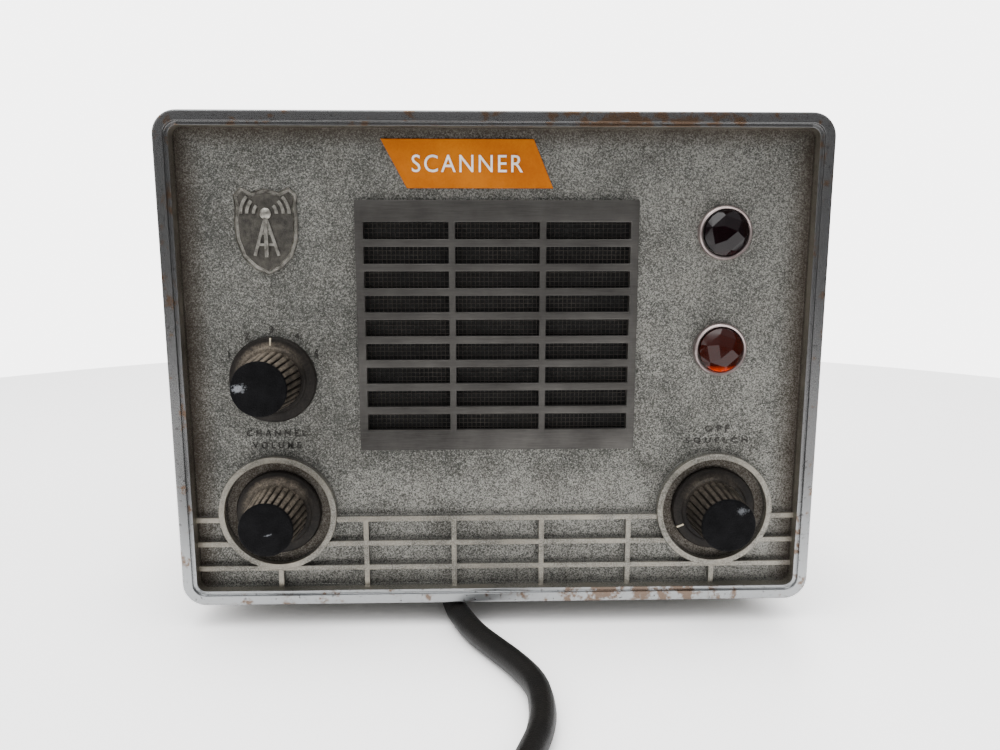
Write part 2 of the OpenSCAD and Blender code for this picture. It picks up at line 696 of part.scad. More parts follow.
front_bezel();
speaker_grille();
grille_mesh();
badge();
callsign_tag();
case_shell();
bottom_cover();
rear_panel();
feet();
foot_screws();
case_screws();
chassis();
panel_screws();
speaker_basket();
speaker_magnet();
speaker_cone();
voice_coil();
speaker_screws();
channel_knob();
channel_knob_cap();
channel_set_screw();
channel_switch();
channel_shaft();
switch_rotors();
volume_knob();
volume_knob_cap();
volume_set_screw();
volume_pot();
volume_shaft();
squelch_knob();
squelch_knob_cap();
squelch_set_screw();
squelch_pot();
squelch_shaft();
control_nuts();
upper_jewel();
lower_jewel();
lamp_rings();
lamp_holders();
lamp_bulbs();
crystals();
crystal_sockets();
valves();
valve_sockets();
valve_shields();
if_cans();
power_transformer();
output_transformer();
filter_capacitor();
component_board();
fuse_holder();
fuse_cap();
fuse();
aerial_socket();
speaker_jack();
strain_relief();
cord();
cord_coil();
cord_tail();
plug();
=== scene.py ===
import math
import random

import bmesh
import bpy
from mathutils import Matrix, Vector


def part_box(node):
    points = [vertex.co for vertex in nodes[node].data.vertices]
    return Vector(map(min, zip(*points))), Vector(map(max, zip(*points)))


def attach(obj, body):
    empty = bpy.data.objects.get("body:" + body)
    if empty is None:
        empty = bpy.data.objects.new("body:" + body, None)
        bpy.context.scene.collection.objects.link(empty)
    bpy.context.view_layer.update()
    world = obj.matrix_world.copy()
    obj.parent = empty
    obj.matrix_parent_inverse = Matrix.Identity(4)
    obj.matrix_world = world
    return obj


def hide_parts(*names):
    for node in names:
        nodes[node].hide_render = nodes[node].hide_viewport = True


# A desktop police scanner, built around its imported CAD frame. Shapes are drawn in
# millimetres and placed in metres: X to the right, the front towards -Y, Z up.
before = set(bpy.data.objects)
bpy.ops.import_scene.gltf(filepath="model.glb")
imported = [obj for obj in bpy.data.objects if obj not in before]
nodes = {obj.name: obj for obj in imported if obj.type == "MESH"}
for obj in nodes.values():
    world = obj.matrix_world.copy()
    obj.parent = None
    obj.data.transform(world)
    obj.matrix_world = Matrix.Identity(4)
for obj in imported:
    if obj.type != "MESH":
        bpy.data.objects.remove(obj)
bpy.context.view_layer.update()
mm = 0.001
random.seed(7)
print("frame loaded:", len(nodes), "nodes")


def middle(node):
    low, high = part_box(node)
    return (low + high) / 2 / mm


def hexToLinear(code):
    parts = [int(code[i:i + 2], 16) / 255 for i in (1, 3, 5)]
    return [c / 12.92 if c <= 0.04045 else ((c + 0.055) / 1.055) ** 2.4 for c in parts] + [1]


def addNode(tree, kind, settings=None, inputs=None):
    node = tree.nodes.new(kind)
    for name, value in (settings or {}).items():
        if name == "stops":
            ramp = node.color_ramp.elements
            while len(ramp) < len(value):
                ramp.new(0.5)
            for element, (position, colour) in zip(ramp, value):
                element.position = position
                element.color = hexToLinear(colour)
        else:
            setattr(node, name, value)
    for name, value in (inputs or {}).items():
        if isinstance(value, bpy.types.NodeSocket):
            tree.links.new(value, node.inputs[name])
        else:
            node.inputs[name].default_value = value
    return node


def startMaterial(name):
    material = bpy.data.materials.new(name)
    material.use_nodes = True
    tree = material.node_tree
    tree.nodes.clear()
    shader = addNode(tree, "ShaderNodeBsdfPrincipled")
    addNode(tree, "ShaderNodeOutputMaterial", {}, {"Surface": shader.outputs[0]})
    place = addNode(tree, "ShaderNodeTexCoord").outputs["Object"]
    return material, tree, shader, place


# Camera: close in front of the set and tipped down, its place in metres and its angles in degrees
cameraView = {"lens": 28.25, "at": (-0.0053, -0.3446, 0.1076), "tippedDown": 9.37, "turned": -1.59}
camera = bpy.data.objects.new("camera", bpy.data.cameras.new("camera"))
camera.data.sensor_width = 36
camera.data.lens = cameraView["lens"]
camera.data.clip_start = 0.01
camera.location = cameraView["at"]
camera.rotation_euler = (math.radians(90 - cameraView["tippedDown"]), 0,
                         math.radians(cameraView["turned"]))
bpy.context.scene.collection.objects.link(camera)
bpy.context.scene.camera = camera


# Shapes

def turnProfile(bm, profile, steps=64):
    # a closed profile of (radius, height) points, spun about Z; returns the new points
    before = set(bm.verts)
    points = [bm.verts.new((r, 0, h)) for r, h in profile]
    edges = [bm.edges.new(pair) for pair in zip(points, points[1:] + points[:1])]
    bmesh.ops.spin(bm, geom=points + edges, cent=(0, 0, 0), axis=(0, 0, 1),
                   angle=2 * math.pi, steps=steps, use_merge=True)
    fresh = [v for v in bm.verts if v not in before]
    bmesh.ops.remove_doubles(bm, verts=fresh, dist=0.0005)
    return [v for v in bm.verts if v not in before]


def addBlock(bm, low, high):
    size = [h - l for l, h in zip(low, high)]
    centre = [(h + l) / 2 for l, h in zip(low, high)]
    made = bmesh.ops.create_cube(bm, size=1)["verts"]
    bmesh.ops.scale(bm, vec=size, verts=made)
    bmesh.ops.translate(bm, vec=centre, verts=made)
    return made


def roundEdges(bm, width, segments=2, angle=30, edges=None):
    sharp = [e for e in (edges or bm.edges)
             if len(e.link_faces) == 2 and e.calc_face_angle(0) > math.radians(angle)]
    bmesh.ops.bevel(bm, geom=sharp, offset=width, segments=segments, profile=0.5,
                    affect="EDGES", material=-1, clamp_overlap=True)


def face(bm, points, towards, x, y, z):
    # stands points drawn about Z up along another direction, and puts them in place
    turns = {"front": Matrix.Rotation(math.radians(90), 4, "X"),
             "back": Matrix.Rotation(math.radians(-90), 4, "X"),
             "down": Matrix.Rotation(math.radians(180), 4, "X"),
             "left": Matrix.Rotation(math.radians(-90), 4, "Y"),
             "right": Matrix.Rotation(math.radians(90), 4, "Y"),
             "up": Matrix.Identity(4)}
    bmesh.ops.transform(bm, matrix=Matrix.Translation((x, y, z)) @ turns[towards], verts=points)


def placePiece(name, bm, finish, body="set", stands=(), sharp=35, recalc=True):
    if recalc:
        bmesh.ops.recalc_face_normals(bm, faces=bm.faces)
    bmesh.ops.scale(bm, vec=(mm, mm, mm), verts=bm.verts)
    mesh = bpy.data.meshes.new(name)
    bm.to_mesh(mesh)
    bm.free()
    for material in (finish if isinstance(finish, list) else [finish]):
        mesh.materials.append(material)
    mesh.shade_smooth()
    mesh.set_sharp_from_angle(angle=math.radians(sharp))
    piece = bpy.data.objects.new(name, mesh)
    bpy.context.scene.collection.objects.link(piece)
    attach(piece, body)
    if stands:
        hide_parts(*stands)
    return piece


def softenedCopy(node, name, finish, width, segments=2, outer=0):
    # the CAD shape with its edges broken, as a casting or folded sheet has them. Faces of many sides
    # are cut up before the bevel, which would otherwise fill the hollow of a U-shaped one
    bm = bmesh.new()
    bm.from_mesh(nodes[node].data)
    bmesh.ops.scale(bm, vec=(1 / mm,) * 3, verts=bm.verts)
    bmesh.ops.remove_doubles(bm, verts=bm.verts, dist=0.003)
    bmesh.ops.dissolve_limit(bm, angle_limit=math.radians(1), verts=bm.verts, edges=bm.edges)
    if outer:
        # the outer front edge is rounder than the rest: sharp edges at the very front whose other
        # face looks away from the middle
        frontY = min(v.co.y for v in bm.verts)
        centre = middle(node)
        rimEdges = [e for e in bm.edges if all(abs(v.co.y - frontY) < 0.01 for v in e.verts)
                    and len(e.link_faces) == 2 and e.calc_face_angle(0) > 1
                    and any(f.normal.dot(e.verts[0].co - centre) > 20 and abs(f.normal.y) < 0.1
                            for f in e.link_faces)]
        bmesh.ops.bevel(bm, geom=rimEdges, offset=outer, segments=4, profile=0.5, affect="EDGES",
                        material=-1)
    cut = bmesh.ops.triangulate(bm, faces=[f for f in bm.faces if len(f.verts) > 4])["faces"]
    bmesh.ops.join_triangles(bm, faces=cut, angle_face_threshold=math.radians(1),
                             angle_shape_threshold=math.radians(60))
    piece = placePiece(name, bm, finish, "set", (node,), recalc=False)
    bevel = piece.modifiers.new("brokenEdges", "BEVEL")
    bevel.width = width * mm
    bevel.segments = segments
    bevel.limit_method = "ANGLE"
    bevel.angle_limit = math.radians(40)
    bevel.use_clamp_overlap = False
    evened = piece.modifiers.new("evenedShading", "WEIGHTED_NORMAL")
    evened.mode = "FACE_AREA"
    evened.keep_sharp = True
    bpy.context.view_layer.update()
    shown = piece.evaluated_get(bpy.context.evaluated_depsgraph_get()).to_mesh()
    shown.calc_loop_triangles()
    drawn = sum(t.area for t in shown.loop_triangles)
    meant = sum(p.area for p in nodes[node].data.polygons)
    print("%s: surface %.4f of the CAD shape's" % (name, drawn / meant))
    return piece


def raisedText(bm, words, height, width, x, z, y, depth, spacing=1.0):
    # block letters standing off the front, fitted to a height and, unless it is 0, a width
    curve = bpy.data.curves.new("letters", "FONT")
    curve.body = words
    curve.align_x = "CENTER"
    curve.align_y = "CENTER"
    curve.extrude = 0.5
    curve.space_character = spacing
    curve.offset = 0.004 if spacing > 1.5 else 0
    curve.resolution_u = 4
    holder = bpy.data.objects.new("letters", curve)
    bpy.context.scene.collection.objects.link(holder)
    bpy.context.view_layer.update()
    mesh = bpy.data.meshes.new_from_object(holder.evaluated_get(bpy.context.evaluated_depsgraph_get()))
    xs = [v.co.x for v in mesh.vertices]
    ys = [v.co.y for v in mesh.vertices]
    shift = Matrix.Translation((-(min(xs) + max(xs)) / 2, -(min(ys) + max(ys)) / 2, 0))
    tall = height / (max(ys) - min(ys))
    wide = width / (max(xs) - min(xs)) if width else tall
    mesh.transform(Matrix.Diagonal((wide, tall, depth, 1)) @ shift)
    before = set(bm.verts)
    bm.from_mesh(mesh)
    fresh = [v for v in bm.verts if v not in before]
    bmesh.ops.remove_doubles(bm, verts=fresh, dist=0.001)
    face(bm, [v for v in bm.verts if v not in before], "front", x, y, z)
    bpy.data.objects.remove(holder)
    bpy.data.curves.remove(curve)
    bpy.data.meshes.remove(mesh)


# Finishes

# one recipe for the plainer finishes: two tones in soft blotches, a fine grain in the bump
def makeFinish(name, light, dark, blotch, grain, rough, metal=0.0, bump=0.15, coat=0.0, stretch=(1, 1, 1),
               shine=0.5):
    material, tree, shader, place = startMaterial(name)
    spread = addNode(tree, "ShaderNodeMapping", {}, {"Vector": place, "Scale": stretch}).outputs[0]
    cloud = addNode(tree, "ShaderNodeTexNoise", {},
                    {"Vector": place, "Scale": 1 / (blotch * mm), "Detail": 5,
                     "Roughness": 0.6}).outputs["Fac"]
    fine = addNode(tree, "ShaderNodeTexNoise", {},
                   {"Vector": spread, "Scale": 1 / (grain * mm), "Detail": 3,
                    "Roughness": 0.65}).outputs["Fac"]
    both = addNode(tree, "ShaderNodeMath", {"operation": "MULTIPLY_ADD"},
                   {0: fine, 1: 0.35, 2: cloud}).outputs[0]
    tone = addNode(tree, "ShaderNodeValToRGB", {"stops": [(0.45, dark), (0.85, light)]},
                   {"Fac": both}).outputs[0]
    gloss = addNode(tree, "ShaderNodeMapRange", {}, {"Value": both, "From Min": 0.4, "From Max": 0.9,
                                                     "To Min": rough + 0.08,
                                                     "To Max": rough - 0.06}).outputs[0]
    height = addNode(tree, "ShaderNodeBump", {}, {"Height": fine, "Strength": bump,
                                                  "Distance": grain * mm}).outputs[0]
    for socket, value in (("Base Color", tone), ("Roughness", gloss), ("Normal", height)):
        tree.links.new(value, shader.inputs[socket])
    shader.inputs["Metallic"].default_value = metal
    shader.inputs["Coat Weight"].default_value = coat
    shader.inputs["Specular IOR Level"].default_value = shine
    return material


# where the casting's finish, its painted light and shade and its painted rim reflection change, in mm: it
# starts at the first figure and is full at the second
castPlaces = {
    "cells": (46, 40),
    "lowFilm": (50, 12),
    "sideStainAndShade": (78, 84.6),
    "roofShadow": (132.5, 138.2),
    "paintedWellShade": (15.2, 14.6),
    "flank": (86.8, 87.6),
    "crown": (139.8, 140.5),
    "ribTops": (-129.6, -130.3),
    "rimFront": (-132.6, -133),
    "rimReflection": (10, 100),
    "rustReach": (30, 8),
}
# how many of each to the millimetre: grit 0.25 mm, lumps 0.43, tarnish 21, film 12, nicks 1.1 and rust
# 4.3 mm across
castCounts = {"grit": 4, "lumps": 2.3, "tarnish": 0.048, "film": 0.085, "nicks": 0.95, "rust": 0.23}


def castSpan(place):
    start, full = castPlaces[place]
    return {"From Min": start * mm, "From Max": full * mm}


def makeCastMetal(name, floorTones, topTone, rimReflectLow, rimReflectHigh):
    # die-cast zinc, grit-textured and aged: sandy sparkle, brown film low down, rubbed tops, buffed rim.
    # Painted light and shade too: lighter to the right and between the ribs, painted shade along the walls
    # and round the lower knobs, and a painted reflection of the pale table low on the rim
    material, tree, shader, place = startMaterial(name)
    axes = addNode(tree, "ShaderNodeSeparateXYZ", {}, {0: place}).outputs
    # grit over softer lumps, with broad clouds of tarnish
    sand = addNode(tree, "ShaderNodeTexVoronoi", {},
                   {"Vector": place, "Scale": castCounts["grit"] / mm}).outputs["Color"]
    grain = addNode(tree, "ShaderNodeSeparateXYZ", {}, {0: sand}).outputs[0]
    lumps = addNode(tree, "ShaderNodeTexNoise", {}, {
        "Vector": place, "Scale": castCounts["lumps"] / mm, "Detail": 4, "Roughness": 0.7}).outputs["Fac"]
    cloud = addNode(tree, "ShaderNodeTexNoise", {}, {
        "Vector": place, "Scale": castCounts["tarnish"] / mm, "Detail": 7, "Roughness": 0.66}).outputs["Fac"]
    grit = addNode(tree, "ShaderNodeMath", {"operation": "MULTIPLY_ADD"},
                   {0: grain, 1: 0.36, 2: lumps}).outputs[0]
    grit = addNode(tree, "ShaderNodeMath", {"operation": "MULTIPLY_ADD"},
                   {0: cloud, 1: 0.5, 2: grit}).outputs[0]
    film = addNode(tree, "ShaderNodeTexNoise", {}, {
        "Vector": place, "Scale": castCounts["film"] / mm, "Detail": 6, "Roughness": 0.62}).outputs["Fac"]
    level = addNode(tree, "ShaderNodeMapRange", {}, {"Value": grit, "From Min": 0.55,
                                                     "From Max": 1.25}).outputs[0]
    # painted light: a little lighter to the right, where more light falls, and lighter in the cells between
    # the ribs to offset the shade the ribs cast
    level = addNode(tree, "ShaderNodeMath", {"operation": "MULTIPLY_ADD"},
                    {0: axes[0], 1: 0.55, 2: level}).outputs[0]
    paintedCellLight = addNode(tree, "ShaderNodeMapRange", {}, {"Value": axes[2], **castSpan("cells"),
                                                    "To Max": 0.1}).outputs[0]
    level = addNode(tree, "ShaderNodeMath", {"operation": "ADD"}, {0: level, 1: paintedCellLight}).outputs[0]
    floorTone = addNode(tree, "ShaderNodeValToRGB", {"stops": floorTones}, {"Fac": level}).outputs[0]
    # a thin brown film in patches, twice as strong near the bottom
    low = addNode(tree, "ShaderNodeMapRange", {}, {"Value": axes[2], **castSpan("lowFilm"),
                                                   "To Min": 0.08, "To Max": 0.16}).outputs[0]
    patch = addNode(tree, "ShaderNodeMapRange", {"interpolation_type": "SMOOTHSTEP"},
                    {"Value": film, "From Min": 0.42, "From Max": 0.66}).outputs[0]
    # stain with painted shade along the side walls, a painted shadow under the top wall, and painted shade
    # in the wells round the lower knobs
    side = addNode(tree, "ShaderNodeMath", {"operation": "ABSOLUTE"}, {0: axes[0]}).outputs[0]
    wall = addNode(tree, "ShaderNodeMapRange", {}, {"Value": side, **castSpan("sideStainAndShade")}).outputs[0]
    paintedRoofShadow = addNode(tree, "ShaderNodeMapRange", {}, {"Value": axes[2], **castSpan("roofShadow")}).outputs[0]
    fold = addNode(tree, "ShaderNodeCombineXYZ", {}, {0: side, 2: axes[2]}).outputs[0]
    reach = addNode(tree, "ShaderNodeVectorMath", {"operation": "DISTANCE"},
                    {0: fold, 1: (0.062, 0, 0.033)}).outputs["Value"]
    paintedWellShade = addNode(tree, "ShaderNodeMapRange", {}, {"Value": reach, **castSpan("paintedWellShade"),
                                                    "To Max": 0.9}).outputs[0]
    edges = addNode(tree, "ShaderNodeMath", {"operation": "MAXIMUM"}, {0: wall, 1: paintedRoofShadow}).outputs[0]
    edges = addNode(tree, "ShaderNodeMath", {"operation": "MAXIMUM"}, {0: edges, 1: paintedWellShade}).outputs[0]
    # the outside walls were wiped: no stain or painted shade there, only the darker rubbed metal
    flank = addNode(tree, "ShaderNodeMapRange", {}, {"Value": side, **castSpan("flank")}).outputs[0]
    crown = addNode(tree, "ShaderNodeMapRange", {}, {"Value": axes[2], **castSpan("crown")}).outputs[0]
    outside = addNode(tree, "ShaderNodeMath", {"operation": "MAXIMUM"}, {0: flank, 1: crown}).outputs[0]
    inside = addNode(tree, "ShaderNodeMapRange", {},
                     {"Value": outside, "To Min": 0.7, "To Max": 0}).outputs[0]
    edges = addNode(tree, "ShaderNodeMath", {"operation": "MULTIPLY"}, {0: edges, 1: inside}).outputs[0]
    # the brown film and the painted shade both darken towards the same brown
    filmAndPaintedShade = addNode(tree, "ShaderNodeMath", {"operation": "MULTIPLY"}, {0: low, 1: patch}).outputs[0]
    filmAndPaintedShade = addNode(tree, "ShaderNodeMath", {"operation": "MAXIMUM"}, {0: filmAndPaintedShade, 1: edges}).outputs[0]
    filmAndShadeTone = addNode(tree, "ShaderNodeMix", {"data_type": "RGBA"},
                     {0: filmAndPaintedShade, 6: floorTone, 7: hexToLinear("#3b3025")}).outputs[2]
    wiped = addNode(tree, "ShaderNodeMath", {"operation": "MULTIPLY"}, {0: outside, 1: 0.7}).outputs[0]
    filmAndShadeTone = addNode(tree, "ShaderNodeMix", {"data_type": "RGBA"},
                     {0: wiped, 6: filmAndShadeTone, 7: hexToLinear("#4a4a49")}).outputs[2]
    # ribs and ring lips, 2 to 3 mm above the floor
    top = addNode(tree, "ShaderNodeMapRange", {}, {"Value": axes[1], **castSpan("ribTops")}).outputs[0]
    worn = addNode(tree, "ShaderNodeMapRange", {}, {"Value": film, "From Min": 0.34, "From Max": 0.6,
                                                    "To Min": 0.95, "To Max": 0.25}).outputs[0]
    rubbed = addNode(tree, "ShaderNodeMath", {"operation": "MULTIPLY"}, {0: top, 1: worn}).outputs[0]
    tops = addNode(tree, "ShaderNodeMix", {"data_type": "RGBA"},
                   {0: rubbed, 6: filmAndShadeTone, 7: hexToLinear(topTone)}).outputs[2]
    rim = addNode(tree, "ShaderNodeMapRange", {}, {"Value": axes[1], **castSpan("rimFront")}).outputs[0]
    # painted reflection: the buffed rim is painted pale low down, where it would mirror the pale table, and
    # darker higher up
    rimPaintedReflection = {"Fac": addNode(tree, "ShaderNodeMapRange", {},
                              {"Value": axes[2], **castSpan("rimReflection")}).outputs[0]}
    rimTone = addNode(tree, "ShaderNodeValToRGB", {"stops": [(0.05, rimReflectLow), (0.4, rimReflectHigh)]},
                      rimPaintedReflection).outputs[0]
    # small dark nicks scattered along the buffed rim
    nick = addNode(tree, "ShaderNodeTexNoise", {}, {
        "Vector": place, "Scale": castCounts["nicks"] / mm, "Detail": 3}).outputs["Fac"]
    nick = addNode(tree, "ShaderNodeMapRange", {}, {"Value": nick, "From Min": 0.63, "From Max": 0.7,
                                                    "To Max": 0.6}).outputs[0]
    rimTone = addNode(tree, "ShaderNodeMix", {"data_type": "RGBA"},
                      {0: nick, 6: rimTone, 7: hexToLinear("#2b2826")}).outputs[2]
    # rust coming through the rim, above and below, most of it right of the middle
    away = addNode(tree, "ShaderNodeVectorMath", {"operation": "DISTANCE"},
                   {0: addNode(tree, "ShaderNodeCombineXYZ", {}, {0: axes[0]}).outputs[0],
                    1: (0.041, 0, 0)}).outputs["Value"]
    near = addNode(tree, "ShaderNodeMapRange", {}, {"Value": away, **castSpan("rustReach"),
                                                    "To Max": 0.13}).outputs[0]
    rust = addNode(tree, "ShaderNodeTexNoise", {}, {
        "Vector": place, "Scale": castCounts["rust"] / mm, "Detail": 5, "Roughness": 0.65}).outputs["Fac"]
    rust = addNode(tree, "ShaderNodeMath", {"operation": "ADD"}, {0: rust, 1: near}).outputs[0]
    rust = addNode(tree, "ShaderNodeMapRange", {"interpolation_type": "SMOOTHSTEP"},
                   {"Value": rust, "From Min": 0.56, "From Max": 0.66, "To Max": 0.85}).outputs[0]
    rimTone = addNode(tree, "ShaderNodeMix", {"data_type": "RGBA"},
                      {0: rust, 6: rimTone, 7: hexToLinear("#5a4431")}).outputs[2]
    colour = addNode(tree, "ShaderNodeMix", {"data_type": "RGBA"}, {0: rim, 6: tops, 7: rimTone}).outputs[2]
    dull = addNode(tree, "ShaderNodeMapRange", {}, {"Value": grit, "From Min": 0.75, "From Max": 1.2,
                                                    "To Min": 0.66, "To Max": 0.4}).outputs[0]
    smooth = addNode(tree, "ShaderNodeMath", {"operation": "MAXIMUM"}, {0: rubbed, 1: rim}).outputs[0]
    gloss = addNode(tree, "ShaderNodeMix", {"data_type": "FLOAT"}, {0: smooth, 2: dull, 3: 0.27}).outputs[0]
    weight = addNode(tree, "ShaderNodeMapRange", {},
                     {"Value": smooth, "To Min": 0.42, "To Max": 0.06}).outputs[0]
    height = addNode(tree, "ShaderNodeBump", {}, {"Height": grit, "Strength": weight,
                                                  "Distance": 0.0004}).outputs[0]
    for socket, value in (("Base Color", colour), ("Roughness", gloss), ("Normal", height)):
        tree.links.new(value, shader.inputs[socket])
    shader.inputs["Metallic"].default_value = 0.72
    return material


def makeKnobPlastic():
    # compression-moulded phenolic, brown-black, with pale dust rubbed into its ribs by an attribute:
    # 3.8 mm patches and 0.5 mm specks, written as counts to the millimetre
    material, tree, shader, place = startMaterial("mouldedPhenolic")
    dust = addNode(tree, "ShaderNodeAttribute", {"attribute_name": "dust"}).outputs["Fac"]
    cloud = addNode(tree, "ShaderNodeTexNoise", {}, {"Vector": place, "Scale": 0.26 / mm, "Detail": 6,
                                                     "Roughness": 0.7}).outputs["Fac"]
    speck = addNode(tree, "ShaderNodeTexNoise", {}, {"Vector": place, "Scale": 1.9 / mm, "Detail": 3,
                                                     "Roughness": 0.7}).outputs["Fac"]
    patch = addNode(tree, "ShaderNodeMapRange", {}, {"Value": cloud, "From Min": 0.32, "From Max": 0.62,
                                                     "To Min": 0.15, "To Max": 1}).outputs[0]
    amount = addNode(tree, "ShaderNodeMath", {"operation": "MULTIPLY"}, {0: dust, 1: patch}).outputs[0]
    dark = addNode(tree, "ShaderNodeValToRGB", {"stops": [(0.3, "#080706"), (0.7, "#141110")]},
                   {"Fac": speck}).outputs[0]
    pale = addNode(tree, "ShaderNodeValToRGB", {"stops": [(0.3, "#575049"), (0.7, "#978b7a")]},
                   {"Fac": speck}).outputs[0]
    colour = addNode(tree, "ShaderNodeMix", {"data_type": "RGBA"}, {0: amount, 6: dark, 7: pale}).outputs[2]
    gloss = addNode(tree, "ShaderNodeMapRange", {}, {"Value": amount, "To Min": 0.5,
                                                     "To Max": 0.85}).outputs[0]
    height = addNode(tree, "ShaderNodeBump", {}, {"Height": speck, "Strength": 0.25,
                                                  "Distance": 0.0002}).outputs[0]
    for socket, value in (("Base Color", colour), ("Roughness", gloss), ("Normal", height)):
        tree.links.new(value, shader.inputs[socket])
    shader.inputs["Specular IOR Level"].default_value = 0.12
    return material


def makeCapPlastic():
    # matte black cap, scuffed pale in one place on each knob: where, how long and tall, how strongly
    scuffs = [("channel_knob_cap", (-5.1, 0.3), (2.3, 1.4), 0.8),
              ("volume_knob_cap", (0.4, -1.4), (1.5, 0.3), 0.6),
              ("squelch_knob_cap", (3.5, 4.2), (2.0, 1.3), 0.4)]
    material = makeFinish("matteCapPlastic", "#0a0a0c", "#020203", 4, 0.45, 0.72, bump=0.7, shine=0.08)
    tree = material.node_tree
    shader = next(n for n in tree.nodes if n.type == "BSDF_PRINCIPLED")
    place = next(n for n in tree.nodes if n.type == "TEX_COORD").outputs["Object"]
    colour = shader.inputs["Base Color"].links[0].from_socket
    ragged = addNode(tree, "ShaderNodeTexNoise", {}, {"Vector": place, "Scale": 1.7 / mm, "Detail": 4,
                                                      "Roughness": 0.7}).outputs["Fac"]
    ragged = addNode(tree, "ShaderNodeMath", {"operation": "MULTIPLY"}, {0: ragged, 1: 2.6}).outputs[0]
    for node, (x, z), (wide, tall), strength in scuffs:
        spot = (middle(node) + Vector((x, 0, z))) * mm
        local = addNode(tree, "ShaderNodeMapping", {"vector_type": "TEXTURE"}, {
            "Vector": place, "Location": spot, "Rotation": (0, math.radians(-14), 0),
            "Scale": (wide * mm, 1, tall * mm)}).outputs[0]
        reach = addNode(tree, "ShaderNodeVectorMath", {"operation": "LENGTH"}, {0: local}).outputs["Value"]
        edge = addNode(tree, "ShaderNodeMath", {"operation": "ADD"}, {0: reach, 1: ragged}).outputs[0]
        mask = addNode(tree, "ShaderNodeMapRange", {}, {"Value": edge, "From Min": 2.15, "From Max": 1.55,
                                                        "To Max": strength}).outputs[0]
        colour = addNode(tree, "ShaderNodeMix", {"data_type": "RGBA"},
                         {0: mask, 6: colour, 7: hexToLinear("#85888c")}).outputs[2]
    tree.links.new(colour, shader.inputs["Base Color"])
    return material


def makeJewelGlass(name, node, deep, bright):
    # pressed glass, coloured through: dark in the middle, with painted light where the edge would gather
    # light
    material, tree, shader, place = startMaterial(name)
    centre = middle(node) * mm
    local = addNode(tree, "ShaderNodeMapping", {}, {"Vector": place,
                                                    "Location": (-centre.x, 0, -centre.z)}).outputs[0]
    axes = addNode(tree, "ShaderNodeSeparateXYZ", {}, {0: local}).outputs
    # painted light: a lit arc along the lower rim, from 4 mm below the middle and full at 6 mm
    arc = addNode(tree, "ShaderNodeMapRange", {"interpolation_type": "SMOOTHSTEP"},
                  {"Value": axes[2], "From Min": -4 * mm, "From Max": -6 * mm}).outputs[0]
    ripple = addNode(tree, "ShaderNodeTexNoise", {},
                     {"Vector": place, "Scale": 1 / (2 * mm), "Detail": 2}).outputs["Fac"]
    paintedEdgeLight = addNode(tree, "ShaderNodeMath", {"operation": "MULTIPLY"}, {0: arc, 1: ripple}).outputs[0]
    colour = addNode(tree, "ShaderNodeMix", {"data_type": "RGBA"},
                     {0: paintedEdgeLight, 6: hexToLinear(deep), 7: hexToLinear(bright)}).outputs[2]
    gloss = addNode(tree, "ShaderNodeMapRange", {}, {"Value": ripple, "To Min": 0.06,
                                                     "To Max": 0.16}).outputs[0]
    tree.links.new(colour, shader.inputs["Base Color"])
    tree.links.new(gloss, shader.inputs["Roughness"])
    shader.inputs["IOR"].default_value = 1.52
    shader.inputs["Transmission Weight"].default_value = 0.12
    shader.inputs["Specular IOR Level"].default_value = 0.18
    return material


def makeHammerEnamel():
    # stoved hammer enamel over steel: shallow dimples with a pale metallic skin
    material, tree, shader, place = startMaterial("hammerEnamel")
    cell = addNode(tree, "ShaderNodeTexVoronoi", {"feature": "SMOOTH_F1"},
                   {"Vector": place, "Scale": 1 / (2.4 * mm), "Smoothness": 0.6}).outputs["Distance"]
    cloud = addNode(tree, "ShaderNodeTexNoise", {}, {"Vector": place, "Scale": 1 / (25 * mm),
                                                     "Detail": 5}).outputs["Fac"]
    both = addNode(tree, "ShaderNodeMath", {"operation": "MULTIPLY_ADD"},
                   {0: cell, 1: 0.6, 2: cloud}).outputs[0]
    colour = addNode(tree, "ShaderNodeValToRGB", {"stops": [(0.45, "#5e6058"), (1.0, "#74766d")]},
                     {"Fac": both}).outputs[0]
    gloss = addNode(tree, "ShaderNodeMapRange", {}, {"Value": cloud, "From Min": 0.3, "From Max": 0.7,
                                                     "To Min": 0.3, "To Max": 0.44}).outputs[0]
    height = addNode(tree, "ShaderNodeBump", {}, {"Height": cell, "Strength": 0.35,
                                                  "Distance": 0.0006}).outputs[0]
    for socket, value in (("Base Color", colour), ("Roughness", gloss), ("Normal", height)):
        tree.links.new(value, shader.inputs[socket])
    shader.inputs["Metallic"].default_value = 0.3
    shader.inputs["Coat Weight"].default_value = 0.25
    shader.inputs["Coat Roughness"].default_value = 0.3
    return material


# the last two tones are the rim's painted reflection: pale low down, darker higher up
castMetal = makeCastMetal("dieCastZinc", [(0.1, "#31312e"), (0.5, "#50504c"), (0.9, "#8c8b85")],
                          "#7e796e", "#8d8f90", "#5c5c5c")
grilleMetal = makeFinish("brushedAluminium", "#4a4845", "#2a2826", 22, 0.35, 0.5, metal=0.7, bump=0.1,
                         stretch=(0.06, 1, 1))
gauzeWire = makeFinish("lacqueredWire", "#45403a", "#1d1b18", 9, 0.3, 0.5, metal=0.4)
# a black sheet behind the gauze: painted shade standing in for the dark space behind the wires
voidShadeSheet = makeFinish("grilleVoidShade", "#0d0c0b", "#040404", 6, 0.3, 0.95, bump=0.4)
badgeMetal = makeFinish("stampedNickelSilver", "#a29f97", "#44413b", 2.2, 0.35, 0.36, metal=0.85, bump=0.3)
